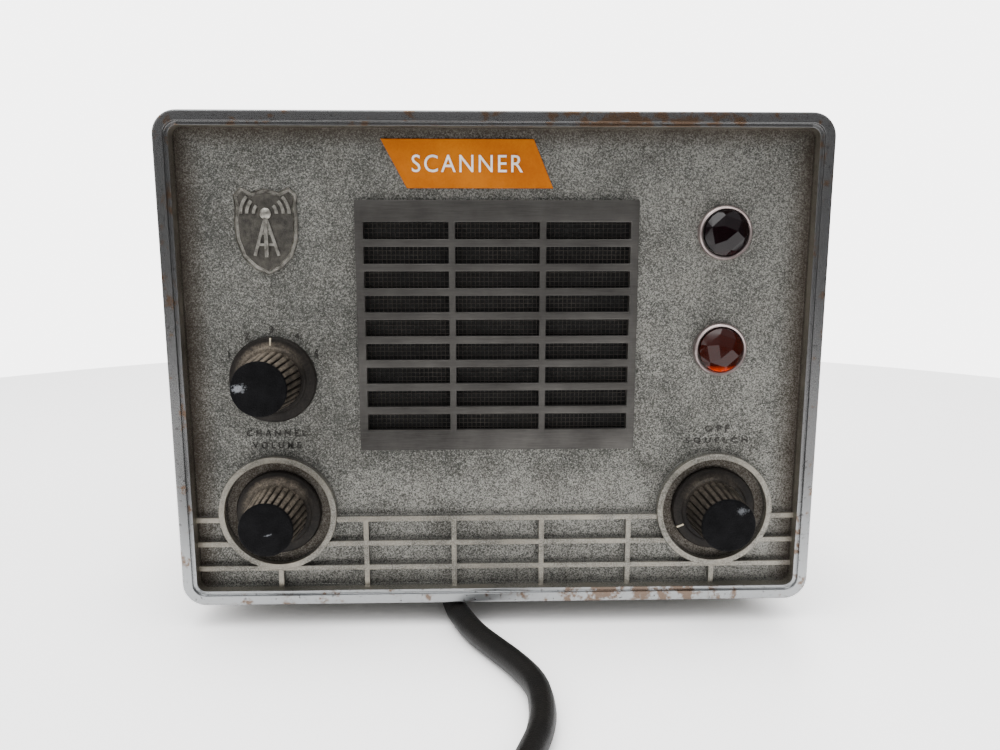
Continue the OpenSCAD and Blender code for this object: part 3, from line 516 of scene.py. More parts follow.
# the sunken field behind the badge's relief, a darker tone than the raised metal
badgeSunkenField = makeFinish("darkerSunkenField", "#4a4741", "#24221f", 1.6, 0.3, 0.6, metal=0.6, bump=0.5)
tagPlastic = makeFinish("orangeStyrene", "#ac6000", "#944a00", 14, 0.5, 0.6, bump=0.08, shine=0.12)
letterPaint = makeFinish("whiteEnamelFill", "#eeeae0", "#c9c3b4", 4, 0.3, 0.5)
# the legends' metal, painted darker than the casting as shade round the raised letters
legendShadeTone = makeFinish("legendPaintedShade", "#34322e", "#1d1b19", 5, 0.3, 0.5, metal=0.5)
creamPaint = makeFinish("creamPaintFill", "#c9bea6", "#988c74", 4, 0.3, 0.6)
knobPlastic = makeKnobPlastic()
capPlastic = makeCapPlastic()
chromeRing = makeFinish("dullChrome", "#b3a5a2", "#6f6462", 6, 0.3, 0.32, metal=0.9, bump=0.08)
# the second tone of each glass is its painted edge light
upperGlass = makeJewelGlass("maroonGlass", "upper_jewel", "#0a0204", "#26060a")
lowerGlass = makeJewelGlass("amberRedGlass", "lower_jewel", "#2a0904", "#ff4a0c")
enamel = makeHammerEnamel()
platedSteel = makeFinish("zincPlatedSteel", "#b4b3ad", "#86857f", 12, 0.4, 0.36, metal=0.9, bump=0.08)
turnedSteel = makeFinish("turnedSteel", "#b9b9b6", "#8a8a87", 8, 0.3, 0.25, metal=1.0, bump=0.06)
nickel = makeFinish("nickelPlate", "#c6c2b6", "#8f8b80", 8, 0.3, 0.24, metal=1.0, bump=0.05)
footRubber = makeFinish("mouldedRubber", "#262524", "#141312", 8, 0.3, 0.78, bump=0.3)
leadRubber = makeFinish("leadRubber", "#191715", "#060606", 18, 0.4, 0.5, bump=0.3, shine=0.2)
phenolicBoard = makeFinish("paperPhenolic", "#8d6230", "#5f3d1a", 10, 0.5, 0.5, bump=0.15,
                           stretch=(0.2, 1, 1))
blackPhenolic = makeFinish("blackPhenolic", "#2c2926", "#161412", 7, 0.3, 0.42, bump=0.12)
spunAluminium = makeFinish("spunAluminium", "#cbccc9", "#9fa09d", 9, 0.3, 0.32, metal=0.95, bump=0.06,
                           stretch=(1, 1, 0.2))
coreIron = makeFinish("laminatedIron", "#4b4a48", "#262524", 9, 0.5, 0.5, metal=0.6, bump=0.5,
                      stretch=(1, 3, 0.15))
speakerSteel = makeFinish("pressedSteel", "#6f716b", "#4b4d48", 9, 0.4, 0.45, metal=0.8)
conePaper = makeFinish("pulpPaper", "#3b3530", "#211d1a", 6, 0.3, 0.9, bump=0.5)
copperWire = makeFinish("enamelledCopper", "#b4602b", "#7c3a16", 5, 0.3, 0.32, metal=0.9, bump=0.2)
ceramic = makeFinish("agedCeramic", "#d9d3c2", "#b3ab98", 7, 0.4, 0.4)
bulbGlass = makeFinish("frostedGlass", "#e5e2d6", "#bfbbae", 6, 0.4, 0.18, coat=0.4, bump=0.05)
print("finishes made:", len(bpy.data.materials))

# The mains lead: out under the front, then wound up on the table, to the left
lead = {
    "diameter": 6.35,
    "coilAt": (-52, -262),
    "outerTurn": 44.45,
    "pitch": 6.35,
    "shiftFrom": 0.7,
    "leaveAt": 6.25,
    "perTurn": 20,
    "route": [(-14, -45, 17.2), (-14, -53, 17.2), (-14, -61, 17.2), (-14, -69, 17), (-14, -77, 15.6),
              (-14, -85, 12.7), (-14, -93, 8.6), (-14, -101, 5.5), (-14, -109, 3.9), (-14, -117, 3.3),
              (-13, -126, 3.2), (-10, -136, 3.2), (-6, -145, 3.2), (-1, -153, 3.2), (4, -161, 3.2),
              (8, -170, 3.2), (9, -179, 3.2), (8, -188, 3.2), (5, -197, 3.2), (1, -207, 3.2),
              (-3, -219, 3.2), (-6, -232, 3.2), (-8, -247, 3.2)],
    "tail": [(-65, -304, 9.6), (-78, -303, 8.8), (-90, -299, 6), (-101, -292, 4.4),
             (-110, -283, 5.4), (-116, -274, 7.4), (-118, -264, 8.5)],
}


def shiftOf(turn):
    # how many pitches the winding has shifted, first inwards and then back out, after so many turns
    part = min(max((turn % 1 - lead["shiftFrom"]) / (1 - lead["shiftFrom"]), 0), 1)
    return math.floor(turn) + part * part * (3 - 2 * part)


def windingPoint(turn):
    pitch = lead["pitch"]
    low = lead["diameter"] / 2 + 0.03
    below = [lead["outerTurn"] - pitch * min(shiftOf(turn % 1 + i), 3) for i in range(4)]
    if turn < 3.6:
        radius = lead["outerTurn"] - pitch * min(shiftOf(turn), 3)
        height = low
    else:
        climb = min((turn - 3.6) / 0.4, 1)
        start = lead["outerTurn"] - 3 * pitch
        radius = start + pitch * (0.5 * climb + (max(shiftOf(max(turn, 4)) - 4, 0)))
        under = below if turn >= 4 else below[:3]
        height = low + max(math.sqrt(max(0, (pitch + 0.02) ** 2 - (radius - r) ** 2)) for r in under)
    angle = -2 * math.pi * turn
    return (lead["coilAt"][0] + radius * math.cos(angle), lead["coilAt"][1] + radius * math.sin(angle),
            height)


count = int(lead["leaveAt"] * lead["perTurn"])
leadPoints = lead["route"] + [windingPoint(i / lead["perTurn"]) for i in range(count + 1)] + lead["tail"]
leadCurve = bpy.data.curves.new("mainsLead", "CURVE")
leadCurve.dimensions = "3D"
leadCurve.bevel_depth = lead["diameter"] / 2 * mm
leadCurve.bevel_resolution = 3
leadCurve.resolution_u = 3
leadCurve.use_fill_caps = True
spline = leadCurve.splines.new("BEZIER")
spline.bezier_points.add(len(leadPoints) - 1)
for point, spot in zip(spline.bezier_points, leadPoints):
    point.co = Vector(spot) * mm
    point.handle_left_type = "AUTO"
    point.handle_right_type = "AUTO"
leadCurve.materials.append(leadRubber)
mainsLead = bpy.data.objects.new("mainsLead", leadCurve)
bpy.context.scene.collection.objects.link(mainsLead)
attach(mainsLead, "set")
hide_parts("cord", "cord_coil", "cord_tail")

# The sleeve at the gland: a tapered boot with flexing rings, gripping both sides of its wall
sleeve = bmesh.new()
profile = [(3.3, -3.6), (5.7, -3.6), (6, -3.2), (6, -1.5), (4.9, -1.1), (4.9, 0.1), (6, 0.4), (5.8, 3)]
for i in range(6):
    base = 4.4 + i * 3.2
    outer = 5.6 - i * 0.2
    profile += [(outer - 0.75, base), (outer - 0.75, base + 0.9), (outer, base + 1.1),
                (outer - 0.05, base + 2.9)]
profile += [(4.1, 23.9), (3.3, 24)]
made = turnProfile(sleeve, profile, 40)
face(sleeve, made, "front", *lead["route"][0])
placePiece("leadSleeve", sleeve, leadRubber, "set", ("strain_relief",))

# The plug: a moulded grip with finger ridges, a tapered neck, and two flat blades
plugShape = {"at": lead["tail"][-1], "width": 24, "length": 26, "height": 16.6, "ridges": 5, "ridgeFrom": 7,
             "ridgePitch": 3.2, "bladeOut": 6.35}
plug = bmesh.new()
halfWidth = plugShape["width"] / 2
halfHeight = plugShape["height"] / 2
body = addBlock(plug, (-halfWidth, 0.4, -halfHeight), (halfWidth, plugShape["length"], halfHeight))
backFace = [v for v in body if v.co.y < 1]
bmesh.ops.scale(plug, vec=(0.62, 1, 0.62), verts=backFace)
roundEdges(plug, 2.2, 4)
for i in range(plugShape["ridges"]):
    y = plugShape["ridgeFrom"] + i * plugShape["ridgePitch"]
    wide = 8.1 + (y / plugShape["length"]) * 4.1
    for side in (-1, 1):
        ridge = addBlock(plug, (side * wide - 0.7, y, -4.6), (side * wide + 0.3, y + 1.3, 4.6))
        roundEdges(plug, 0.3, 2, edges=list({e for v in ridge for e in v.link_edges}))
neck = turnProfile(plug, [(3.3, 0), (4.6, 0), (5.4, 2.6), (6.4, 4), (3.3, 4)], 32)
face(plug, neck, "back", 0, -2, 0)
for v in plug.verts:
    v.co += Vector(plugShape["at"])
placePiece("plugGrip", plug, leadRubber, "set", ("plug",))
blades = bmesh.new()
for side in (-plugShape["bladeOut"], plugShape["bladeOut"]):
    blade = addBlock(blades, (side - 0.75, 25.5, -3.1), (side + 0.75, 42, 3.1))
    tip = [v for v in blade if v.co.y > 40]
    bmesh.ops.scale(blades, vec=(1, 1, 0.7), verts=tip)
roundEdges(blades, 0.3, 2)
for v in blades.verts:
    v.co += Vector(plugShape["at"])
plugBlades = placePiece("plugBlades", blades, nickel, "set", ())

# A woven tie round the winding, on its left
tieOut = 35
tie = bmesh.new()
tieShape = turnProfile(tie, [(12.6, -4), (13.2, -4), (13.2, 4), (12.6, 4)], 40)
bmesh.ops.scale(tie, vec=(1.08, 0.485, 1), verts=tieShape)
tieStand = Matrix.Translation((lead["coilAt"][0] - tieOut, lead["coilAt"][1], 6.5))
bmesh.ops.transform(tie, matrix=tieStand @ Matrix.Rotation(math.pi / 2, 4, "X"), verts=tieShape)
wovenTape = makeFinish("wovenTape", "#4b463c", "#2a2721", 3, 0.4, 0.9, bump=0.5)
windingTie = placePiece("windingTie", tie, wovenTape, "set", ())
print("mains lead laid")

# Front casting, from the CAD shape with its edges broken
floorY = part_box("grille_mesh")[0].y / mm - 0.1
softenedCopy("front_bezel", "frontCasting", castMetal, 0.15, outer=0.6)

# Grille plate: a lattice of strips with the slot cells left out, as the die punches it
grilleShape = {"slot": (22.8, 4.5), "pitch": (24.6, 6.56), "columns": 3, "rows": 9, "edge": 0.3}
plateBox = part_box("speaker_grille")
plateAt = middle("speaker_grille")


def slotLines(across, slot, pitch, count):
    lines = [-across / 2]
    for i in range(count):
        lines += [(i - (count - 1) / 2) * pitch - slot / 2, (i - (count - 1) / 2) * pitch + slot / 2]
    return lines + [across / 2]


columns = slotLines((plateBox[1].x - plateBox[0].x) / mm, grilleShape["slot"][0], grilleShape["pitch"][0],
                    grilleShape["columns"])
rows = slotLines((plateBox[1].z - plateBox[0].z) / mm, grilleShape["slot"][1], grilleShape["pitch"][1],
                 grilleShape["rows"])
plate = bmesh.new()
lattice = bmesh.ops.create_grid(plate, x_segments=len(columns) - 1, y_segments=len(rows) - 1,
                                size=0.5)["verts"]
cells = {}
for v in lattice:
    cells[v] = (round((v.co.x + 0.5) * (len(columns) - 1)), round((v.co.y + 0.5) * (len(rows) - 1)))
slots = [f for f in plate.faces
         if min(cells[v][0] for v in f.verts) % 2 and min(cells[v][1] for v in f.verts) % 2]
for v, (i, j) in cells.items():
    v.co = Vector((columns[i], rows[j], 0))
bmesh.ops.delete(plate, geom=slots, context="FACES_ONLY")
strips = list(plate.faces)
grown = bmesh.ops.extrude_face_region(plate, geom=strips)["geom"]
thick = (plateBox[1].y - plateBox[0].y) / mm
bmesh.ops.translate(plate, vec=(0, 0, thick), verts=[g for g in grown if isinstance(g, bmesh.types.BMVert)])
face(plate, list(plate.verts), "front", plateAt.x, plateBox[1].y / mm, plateAt.z)
roundEdges(plate, grilleShape["edge"], 2)
print("grille plate: open edges", sum(e.is_boundary for e in plate.edges))
placePiece("grillePlate", plate, grilleMetal, "set", ("speaker_grille",))

# Gauze behind the slots: fine crossed wires over a black sheet, painted shade standing in for the dark space
# behind them
gauzeShape = {"pitch": 1.2, "wire": 0.26, "behind": 0.12, "sheetBehind": 0.28}
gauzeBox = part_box("grille_mesh")
gauze = bmesh.new()
across = (gauzeBox[1].x - gauzeBox[0].x) / mm
up = (gauzeBox[1].z - gauzeBox[0].z) / mm
made = bmesh.ops.create_grid(gauze, x_segments=round(across / gauzeShape["pitch"]),
                             y_segments=round(up / gauzeShape["pitch"]), size=0.5)["verts"]
bmesh.ops.scale(gauze, vec=(across, up, 1), verts=made)
gauzeAt = middle("grille_mesh")
face(gauze, made, "front", gauzeAt.x, gauzeBox[0].y / mm + gauzeShape["behind"], gauzeAt.z)
wires = placePiece("grilleGauze", gauze, gauzeWire, "set", (), recalc=False)
strands = wires.modifiers.new("strands", "WIREFRAME")
strands.thickness = gauzeShape["wire"] * mm
strands.use_even_offset = False
# the black sheet behind the wires, painted shade
shadeSheet = bmesh.new()
addBlock(shadeSheet, (gauzeBox[0].x / mm, gauzeBox[0].y / mm + gauzeShape["sheetBehind"], gauzeBox[0].z / mm),
         (gauzeBox[1].x / mm, gauzeBox[1].y / mm, gauzeBox[1].z / mm))
roundEdges(shadeSheet, 0.05, 2)
placePiece("grilleVoidShade", shadeSheet, voidShadeSheet, "set", ("grille_mesh",))
print("front casting and grille placed")

# Knobs: a dished skirt, a fluted barrel, a flat cap, all turning together
knobShape = {"barrel": 8.2, "cap": 7.3, "length": 14.7, "flutes": 26, "perFlute": 8, "fluteDepth": 0.6,
             "sunk": 0.3}


def buildKnob(label, knobBody, x, z, grime):
    # grime, 0 to 1, is how much pale dust this knob has gathered
    baseY = floorY - knobShape["sunk"]
    bm = bmesh.new()
    dust = bm.verts.layers.float.new("dust")
    skirt = turnProfile(bm, [(4.9, 0), (11.7, 0), (12, 0.3), (11.9, 1.1), (11.55, 1.55), (10.9, 1.75),
                             (9.5, 2.05), (9.25, 2.5), (8.9, 2.75), (8.3, 2.8), (4.9, 2.8)], 96)
    around = knobShape["flutes"] * knobShape["perFlute"]
    ring = bmesh.ops.create_circle(bm, segments=around, radius=knobShape["barrel"])["verts"]
    for v in ring:
        phase = (math.atan2(v.co.y, v.co.x) / (2 * math.pi) * knobShape["flutes"]) % 1
        groove = max(0, 1 - abs(phase - 0.5) / 0.19)
        crown = 0.1 * (1 - (2 * min(abs(phase), abs(1 - phase))) ** 2)
        radius = knobShape["barrel"] - knobShape["fluteDepth"] * groove ** 0.8 + crown - 0.1
        v.co = Vector((v.co.x, v.co.y, 0)).normalized() * radius
        v.co.z = 2.6
    loopEdges = list({e for v in ring for e in v.link_edges})
    taper = knobShape["cap"] / knobShape["barrel"]
    for height, size in ((knobShape["length"] - 0.5, taper), (knobShape["length"], 0.965)):
        grown = bmesh.ops.extrude_edge_only(bm, edges=loopEdges)["geom"]
        loopEdges = [g for g in grown if isinstance(g, bmesh.types.BMEdge)]
        tops = [g for g in grown if isinstance(g, bmesh.types.BMVert)]
        bmesh.ops.scale(bm, vec=(size, size, 1), verts=tops)
        for v in tops:
            v.co.z = height
    bmesh.ops.contextual_create(bm, geom=loopEdges)
    skirt = set(skirt)
    for v in bm.verts:
        reach = math.hypot(v.co.x, v.co.y)
        up = max(0, (v.co.y - 0.25 * v.co.x) / max(reach, 1))
        if v in skirt:
            v[dust] = grime * (0.05 + 0.75 * up ** 1.5) if reach < 9.6 and v.co.z > 1.9 else 0.04
        else:
            narrowing = (knobShape["cap"] - knobShape["barrel"]) * v.co.z / knobShape["length"]
            edge = knobShape["barrel"] + narrowing
            sheltered = 0.3 + 0.6 * up
            v[dust] = grime * sheltered if reach > edge - 0.2 else 0.02
    face(bm, list(bm.verts), "front", x, baseY, z)
    placePiece(label + "Knob", bm, knobPlastic, knobBody, (label + "_knob",), sharp=30)
    cap = bmesh.new()
    capPoints = turnProfile(cap, [(0, 0), (7.15, 0), (7.3, 0.15), (7.3, 0.7), (7.12, 0.92), (6.8, 1),
                                  (0, 0.93)], 72)
    face(cap, capPoints, "front", x, baseY - knobShape["length"], z)
    placePiece(label + "KnobCap", cap, capPlastic, knobBody, (label + "_knob_cap",))


def addIndex(label, knobBody, x, z, turned):
    # a cream line across the rim of the skirt, turned clockwise from the top
    bm = bmesh.new()
    made = addBlock(bm, (-0.22, 9.7, 1.45), (0.22, 11.75, 2.1))
    inner = [v for v in made if v.co.y > 11 and v.co.z > 1.6]
    bmesh.ops.translate(bm, vec=(0, 0, -0.4), verts=inner)
    roundEdges(bm, 0.06, 2)
    bmesh.ops.rotate(bm, cent=(0, 0, 0), matrix=Matrix.Rotation(math.radians(-turned), 3, "Z"),
                     verts=bm.verts)
    face(bm, list(bm.verts), "front", x, floorY - knobShape["sunk"], z)
    placePiece(label + "Index", bm, creamPaint, knobBody, ())


for label, knobBody, turned, grime in (("channel", "channel_selector", 0, 0.85),
                                       ("volume", "volume_control", 205, 1.0),
                                       ("squelch", "squelch_control", 243, 0.25)):
    spot = middle(label + "_knob_cap")
    buildKnob(label, knobBody, spot.x, spot.z, grime)
    addIndex(label, knobBody, spot.x, spot.z, turned)
print("knobs made")

# Pilot lamps: thin rolled rings and faceted pressed-glass jewels
lampRings = bmesh.new()
for jewel, glass, slot in (("upper", upperGlass, "red_glass"), ("lower", lowerGlass, "amber_glass")):
    spot = middle(jewel + "_jewel")
    made = turnProfile(lampRings, [(6.17, 0.05), (7.4, 0.05), (7.4, 1.3), (7.25, 1.75), (6.95, 1.98),
                                   (6.6, 1.95), (6.3, 1.7), (6.17, 1.3)], 72)
    face(lampRings, made, "front", spot.x, floorY, spot.z)
    bm = bmesh.new()
    for radius, height, sides, turn in ((6.05, 0, 24, 0), (6.05, 1.1, 24, 0), (4.7, 2.5, 6, 12),
                                        (2.3, 3.4, 3, 40)):
        ring = bmesh.ops.create_circle(bm, segments=sides, radius=radius)["verts"]
        bmesh.ops.rotate(bm, cent=(0, 0, 0), matrix=Matrix.Rotation(math.radians(turn), 3, "Z"), verts=ring)
        bmesh.ops.translate(bm, vec=(0, 0, height), verts=ring)
    hull = bmesh.ops.convex_hull(bm, input=bm.verts)
    bmesh.ops.delete(bm, geom=hull["geom_interior"] + hull["geom_unused"], context="VERTS")
    bmesh.ops.dissolve_limit(bm, angle_limit=math.radians(2), verts=bm.verts, edges=bm.edges)
    face(bm, list(bm.verts), "front", spot.x, floorY - 1.2, spot.z)
    roundEdges(bm, 0.05, 1, 12)
    placePiece(jewel + "Jewel", bm, glass, "set", (jewel + "_jewel",), sharp=5)
placePiece("lampRings", lampRings, chromeRing, "set", ("lamp_rings",))

# Name tag: a slanted plastic slip with block letters standing on it
softenedCopy("callsign_tag", "nameTag", tagPlastic, 0.18, 3)
tagWords = bmesh.new()
spot = middle("callsign_tag")
raisedText(tagWords, "SCANNER", 4.5, 29.5, spot.x, spot.z, floorY - 0.95, 0.3, 1.2)
placePiece("tagWords", tagWords, letterPaint, "set", (), recalc=False)

# Badge: a plain shield with a mast and signal arcs in relief, drawn about a point at badgeZ
badgeZ = 114
badge = bmesh.new()
outline = [(0, 8.6), (3.6, 7.6), (6.4, 8.8), (8.5, 6.9), (8.1, 3.6), (8.5, 0), (8.2, -5), (6.6, -9.6),
           (3.6, -12.6), (0, -14.3)]
corners = [badge.verts.new((x, y, 0)) for x, y in outline]
corners += [badge.verts.new((-x, y, 0)) for x, y in reversed(outline[1:-1])]
shield = badge.faces.new(corners)
grown = bmesh.ops.extrude_face_region(badge, geom=[shield])["geom"]
bmesh.ops.translate(badge, vec=(0, 0, 0.55), verts=[g for g in grown if isinstance(g, bmesh.types.BMVert)])
front = [g for g in grown if isinstance(g, bmesh.types.BMFace)]
bmesh.ops.inset_region(badge, faces=front, thickness=0.2, depth=0.5)
bmesh.ops.inset_region(badge, faces=front, thickness=0.8, depth=0)
bmesh.ops.inset_region(badge, faces=front, thickness=0.2, depth=-0.6)
for f in front:
    f.material_index = 1
addBlock(badge, (-0.5, -9.5, 0.35), (0.5, 1.5, 1.25))
for y, half in ((-3.2, 1.5), (-6.2, 2.4)):
    addBlock(badge, (-half, y - 0.35, 0.35), (half, y + 0.35, 0.95))
signalBar = ((0, 0.35), (0.85, 0.35), (0.85, 1.15), (0, 1.15))
for reach in (2.6, 4.4, 6.0):
    for side in (-1, 1):
        start = [badge.verts.new((side * (reach + a), 2.0, b)) for a, b in signalBar]
        square = [badge.edges.new(p) for p in zip(start, start[1:] + start[:1])]
        bmesh.ops.spin(badge, geom=start + square, cent=(0, 2.0, 0.5), axis=(0, 0, side), angle=0.75,
                       steps=10)
for side in (-1, 1):
    leg = addBlock(badge, (-0.4, -9.6, 0.35), (0.4, 1.2, 1.0))
    bmesh.ops.rotate(badge, cent=(0, 1.2, 0.5), matrix=Matrix.Rotation(side * 0.3, 3, "Z"), verts=leg)
turnedTip = turnProfile(badge, [(0, 0.4), (1.5, 0.4), (1.5, 1.0), (1.0, 1.4), (0, 1.5)], 24)
bmesh.ops.translate(badge, vec=(0, 2, 0), verts=turnedTip)
bmesh.ops.holes_fill(badge, edges=[e for e in badge.edges if e.is_boundary], sides=4)
spot = middle("badge")
face(badge, list(badge.verts), "front", spot.x, floorY, badgeZ)
placePiece("badgeShield", badge, [badgeMetal, badgeSunkenField], "set", ("badge",))

# Legends beside the controls, their metal painted dark as shade round the letters
legend = bmesh.new()
digitReach = 13.9
selector = middle("channel_knob_cap")
for digit, bearing in zip("12345", (150, 120, 90, 60, 30)):
    turn = math.radians(bearing)
    digitX = selector.x + digitReach * math.cos(turn)
    digitZ = selector.z + digitReach * math.sin(turn)
    raisedText(legend, digit, 1.9, 0, digitX, digitZ, floorY - 0.1, 0.4)
for words, width, x, z in (("CHANNEL", 16.6, -62, 55.7), ("VOLUME", 13.4, -62, 52.2),
                           ("OFF", 6.8, 62.5, 56.2), ("SQUELCH", 17.8, 62.5, 52.7)):
    raisedText(legend, words, 1.8, width, x, z, floorY - 0.1, 0.35, 1.7)
placePiece("controlLegends", legend, legendShadeTone, "set", (), recalc=False)
print("lamps, tag, badge and legends made")

# Case
softenedCopy("case_shell", "caseShell", enamel, 0.1)


def slottedHead(bm, radius, height, towards, x, y, z, turn=0.0):
    # a cheese head with a milled slot
    made = set(turnProfile(bm, [(0, 0), (radius, 0), (radius, height * 0.6), (radius * 0.9, height * 0.9),
                                (radius * 0.7, height), (0, height)], 32))
    for side in (-1, 1):
        part = [g for g in list(bm.verts) + list(bm.edges) + list(bm.faces)
                if (g in made if isinstance(g, bmesh.types.BMVert) else all(v in made for v in g.verts))]
        bmesh.ops.bisect_plane(bm, geom=part, plane_co=(side * radius * 0.13, 0, 0), plane_no=(1, 0, 0))
        made |= {v for v in bm.verts if any(e.other_vert(v) in made for e in v.link_edges)}
    strip = [f for f in bm.faces if all(v in made for v in f.verts)
             and abs(f.calc_center_median().x) < radius * 0.13 and f.calc_center_median().z > height * 0.62]
    grown = bmesh.ops.extrude_face_region(bm, geom=strip)["geom"]
    deep = [g for g in grown if isinstance(g, bmesh.types.BMVert)]
    bmesh.ops.translate(bm, vec=(0, 0, -height * 0.35), verts=deep)
    made = list(made | set(deep))
    bmesh.ops.rotate(bm, cent=(0, 0, 0), matrix=Matrix.Rotation(turn, 3, "Z"), verts=made)
    face(bm, made, towards, x, y, z)


caseScrews = {"radius": 3.2, "underX": 74, "underY": (-85, 100), "underZ": 9.9, "sideX": 86, "sideY": 123,
              "sideZ": (38, 108)}
heads = bmesh.new()
for x in (-caseScrews["underX"], caseScrews["underX"]):
    for y in caseScrews["underY"]:
        slottedHead(heads, caseScrews["radius"], 1.8, "down", x, y, caseScrews["underZ"],
                    random.uniform(0, 3))
for side, towards in ((-1, "left"), (1, "right")):
    for z in caseScrews["sideZ"]:
        slottedHead(heads, caseScrews["radius"], 1.7, towards, side * caseScrews["sideX"],
                    caseScrews["sideY"], z, random.uniform(0, 3))
placePiece("caseScrewHeads", heads, platedSteel, "set", ())

# Feet: ribbed rubber buttons with a screw in the middle
feetAt = {"x": 58, "y": (-92, 108), "screwZ": 3.4}
feet = bmesh.new()
footHeads = bmesh.new()
for x in (-feetAt["x"], feetAt["x"]):
    for y in feetAt["y"]:
        made = turnProfile(feet, [(3.9, 0), (7.2, 0), (7.7, 0.4), (8.4, 1.5), (8.5, 2.2), (8.3, 2.6),
                                  (8.3, 3.1), (8.7, 3.4), (9.5, 9.4), (9.3, 9.88), (1.8, 9.88),
                                  (1.8, 3.45), (3.9, 3.45)], 48)
        bmesh.ops.translate(feet, vec=(x, y, 0), verts=made)
        slottedHead(footHeads, 3.4, 2, "down", x, y, feetAt["screwZ"], random.uniform(0, 3))
placePiece("rubberFeet", feet, footRubber, "set", ("feet",))
placePiece("footScrewHeads", footHeads, platedSteel, "set", ())
print("case and feet made")

# Rear fittings: a threaded aerial socket and a knurled fuse cap
thread = {"turns": 12, "pitch": 1.06, "outer": 7.94, "root": 7.35}
flangeHalf = 12.7
flangeScrew = 9.2
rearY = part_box("rear_panel")[1].y / mm
socket = bmesh.new()
addBlock(socket, (-flangeHalf, -flangeHalf, 0), (flangeHalf, flangeHalf, 1.6))
roundEdges(socket, 0.8, 3)
barrel = [(5.6, 4.8), (5.6, 15.3), (6.4, 15.3), (7.0, 15.1)]
for i in range(thread["turns"]):
    top = 14.6 - i * thread["pitch"]
    barrel += [(thread["outer"], top), (thread["outer"], top - 0.2), (thread["root"], top - 0.55),
               (thread["root"], top - 0.7)]
barrel += [(thread["root"], 1.2), (2, 1.2), (2, 4.8)]
turnProfile(socket, barrel, 64)
for x in (-flangeScrew, flangeScrew):
    for y in (-flangeScrew, flangeScrew):
        slottedHead(socket, 1.7, 1.0, "up", 0, 0, 1.55, random.uniform(0, 3))
        newest = [v for v in socket.verts if math.hypot(v.co.x, v.co.y) < 1.75 and 1.5 < v.co.z < 2.6]
        bmesh.ops.translate(socket, vec=(x, y, 0), verts=newest)
spot = middle("aerial_socket")
face(socket, list(socket.verts), "back", spot.x, rearY, spot.z)
placePiece("aerialSocket", socket, nickel, "set", ("aerial_socket",))

fuseCapShape = {"knurls": 36, "radius": 7, "groove": 6.55, "length": 7.7}
fuseCap = bmesh.new()
ring = bmesh.ops.create_circle(fuseCap, segments=fuseCapShape["knurls"] * 2,
                               radius=fuseCapShape["radius"])["verts"]
for i, v in enumerate(sorted(ring, key=lambda p: math.atan2(p.co.y, p.co.x))):
    v.co = Vector(v.co).normalized() * (fuseCapShape["radius"] if i % 2 else fuseCapShape["groove"])
loopEdges = list({e for v in ring for e in v.link_edges})
bmesh.ops.contextual_create(fuseCap, geom=loopEdges)
for height, size in ((6.4, 1), (7.2, 0.93), (fuseCapShape["length"], 0.8)):
    grown = bmesh.ops.extrude_edge_only(fuseCap, edges=loopEdges)["geom"]
    loopEdges = [g for g in grown if isinstance(g, bmesh.types.BMEdge)]
    tops = [g for g in grown if isinstance(g, bmesh.types.BMVert)]
    for v in tops:
        flat = Vector((v.co.x, v.co.y, 0))
        v.co = flat.normalized() * flat.length * size if size < 1 else flat
        v.co.z = height
bmesh.ops.contextual_create(fuseCap, geom=loopEdges)
turnProfile(fuseCap, [(2.65, -5.2), (4.1, -5.2), (4.1, 0.2), (2.65, 0.2)], 40)
spot = middle("fuse_cap")
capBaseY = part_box("fuse_cap")[1].y / mm - fuseCapShape["length"]
face(fuseCap, list(fuseCap.verts), "back", spot.x, capBaseY, spot.z)
placePiece("fuseCap", fuseCap, blackPhenolic, "fuse_carrier", ("fuse_cap",))
print("rear fittings made")

# Valve electrodes inside the glass: a plate cylinder between two mica discs
valveBaseZ = 52.2
electrodes = bmesh.new()
valveSpots = [(-58, 28), (-20, 30), (18, 30), (56, 28), (-58, -18), (56, -18)]
for x, y in valveSpots:
    made = turnProfile(electrodes, [(3.6, 6), (5.6, 6), (5.6, 31), (3.6, 31)], 24)
    made += turnProfile(electrodes, [(0, 3.2), (8.2, 3.2), (8.2, 3.7), (0, 3.7)], 32)
    made += turnProfile(electrodes, [(0, 33), (8.2, 33), (8.2, 33.5), (0, 33.5)], 32)
    bmesh.ops.translate(electrodes, vec=(x, y, valveBaseZ), verts=made)
placePiece("valveElectrodes", electrodes, speakerSteel, "set", ())

valveGlass, tree, shader, place = startMaterial("valveGlass")
# thin blown glass with a grey getter flash near the top
flash = addNode(tree, "ShaderNodeMapRange", {}, {
    "Value": addNode(tree, "ShaderNodeSeparateXYZ", {}, {0: place}).outputs[2],
    "From Min": 0.088, "From Max": 0.096}).outputs[0]
tree.links.new(addNode(tree, "ShaderNodeMix", {"data_type": "RGBA"}, {
    0: flash, 6: hexToLinear("#e9eeec"), 7: hexToLinear("#6b6f70")}).outputs[2], shader.inputs["Base Color"])
shader.inputs["Roughness"].default_value = 0.05
shader.inputs["Transmission Weight"].default_value = 0.85
shader.inputs["IOR"].default_value = 1.5

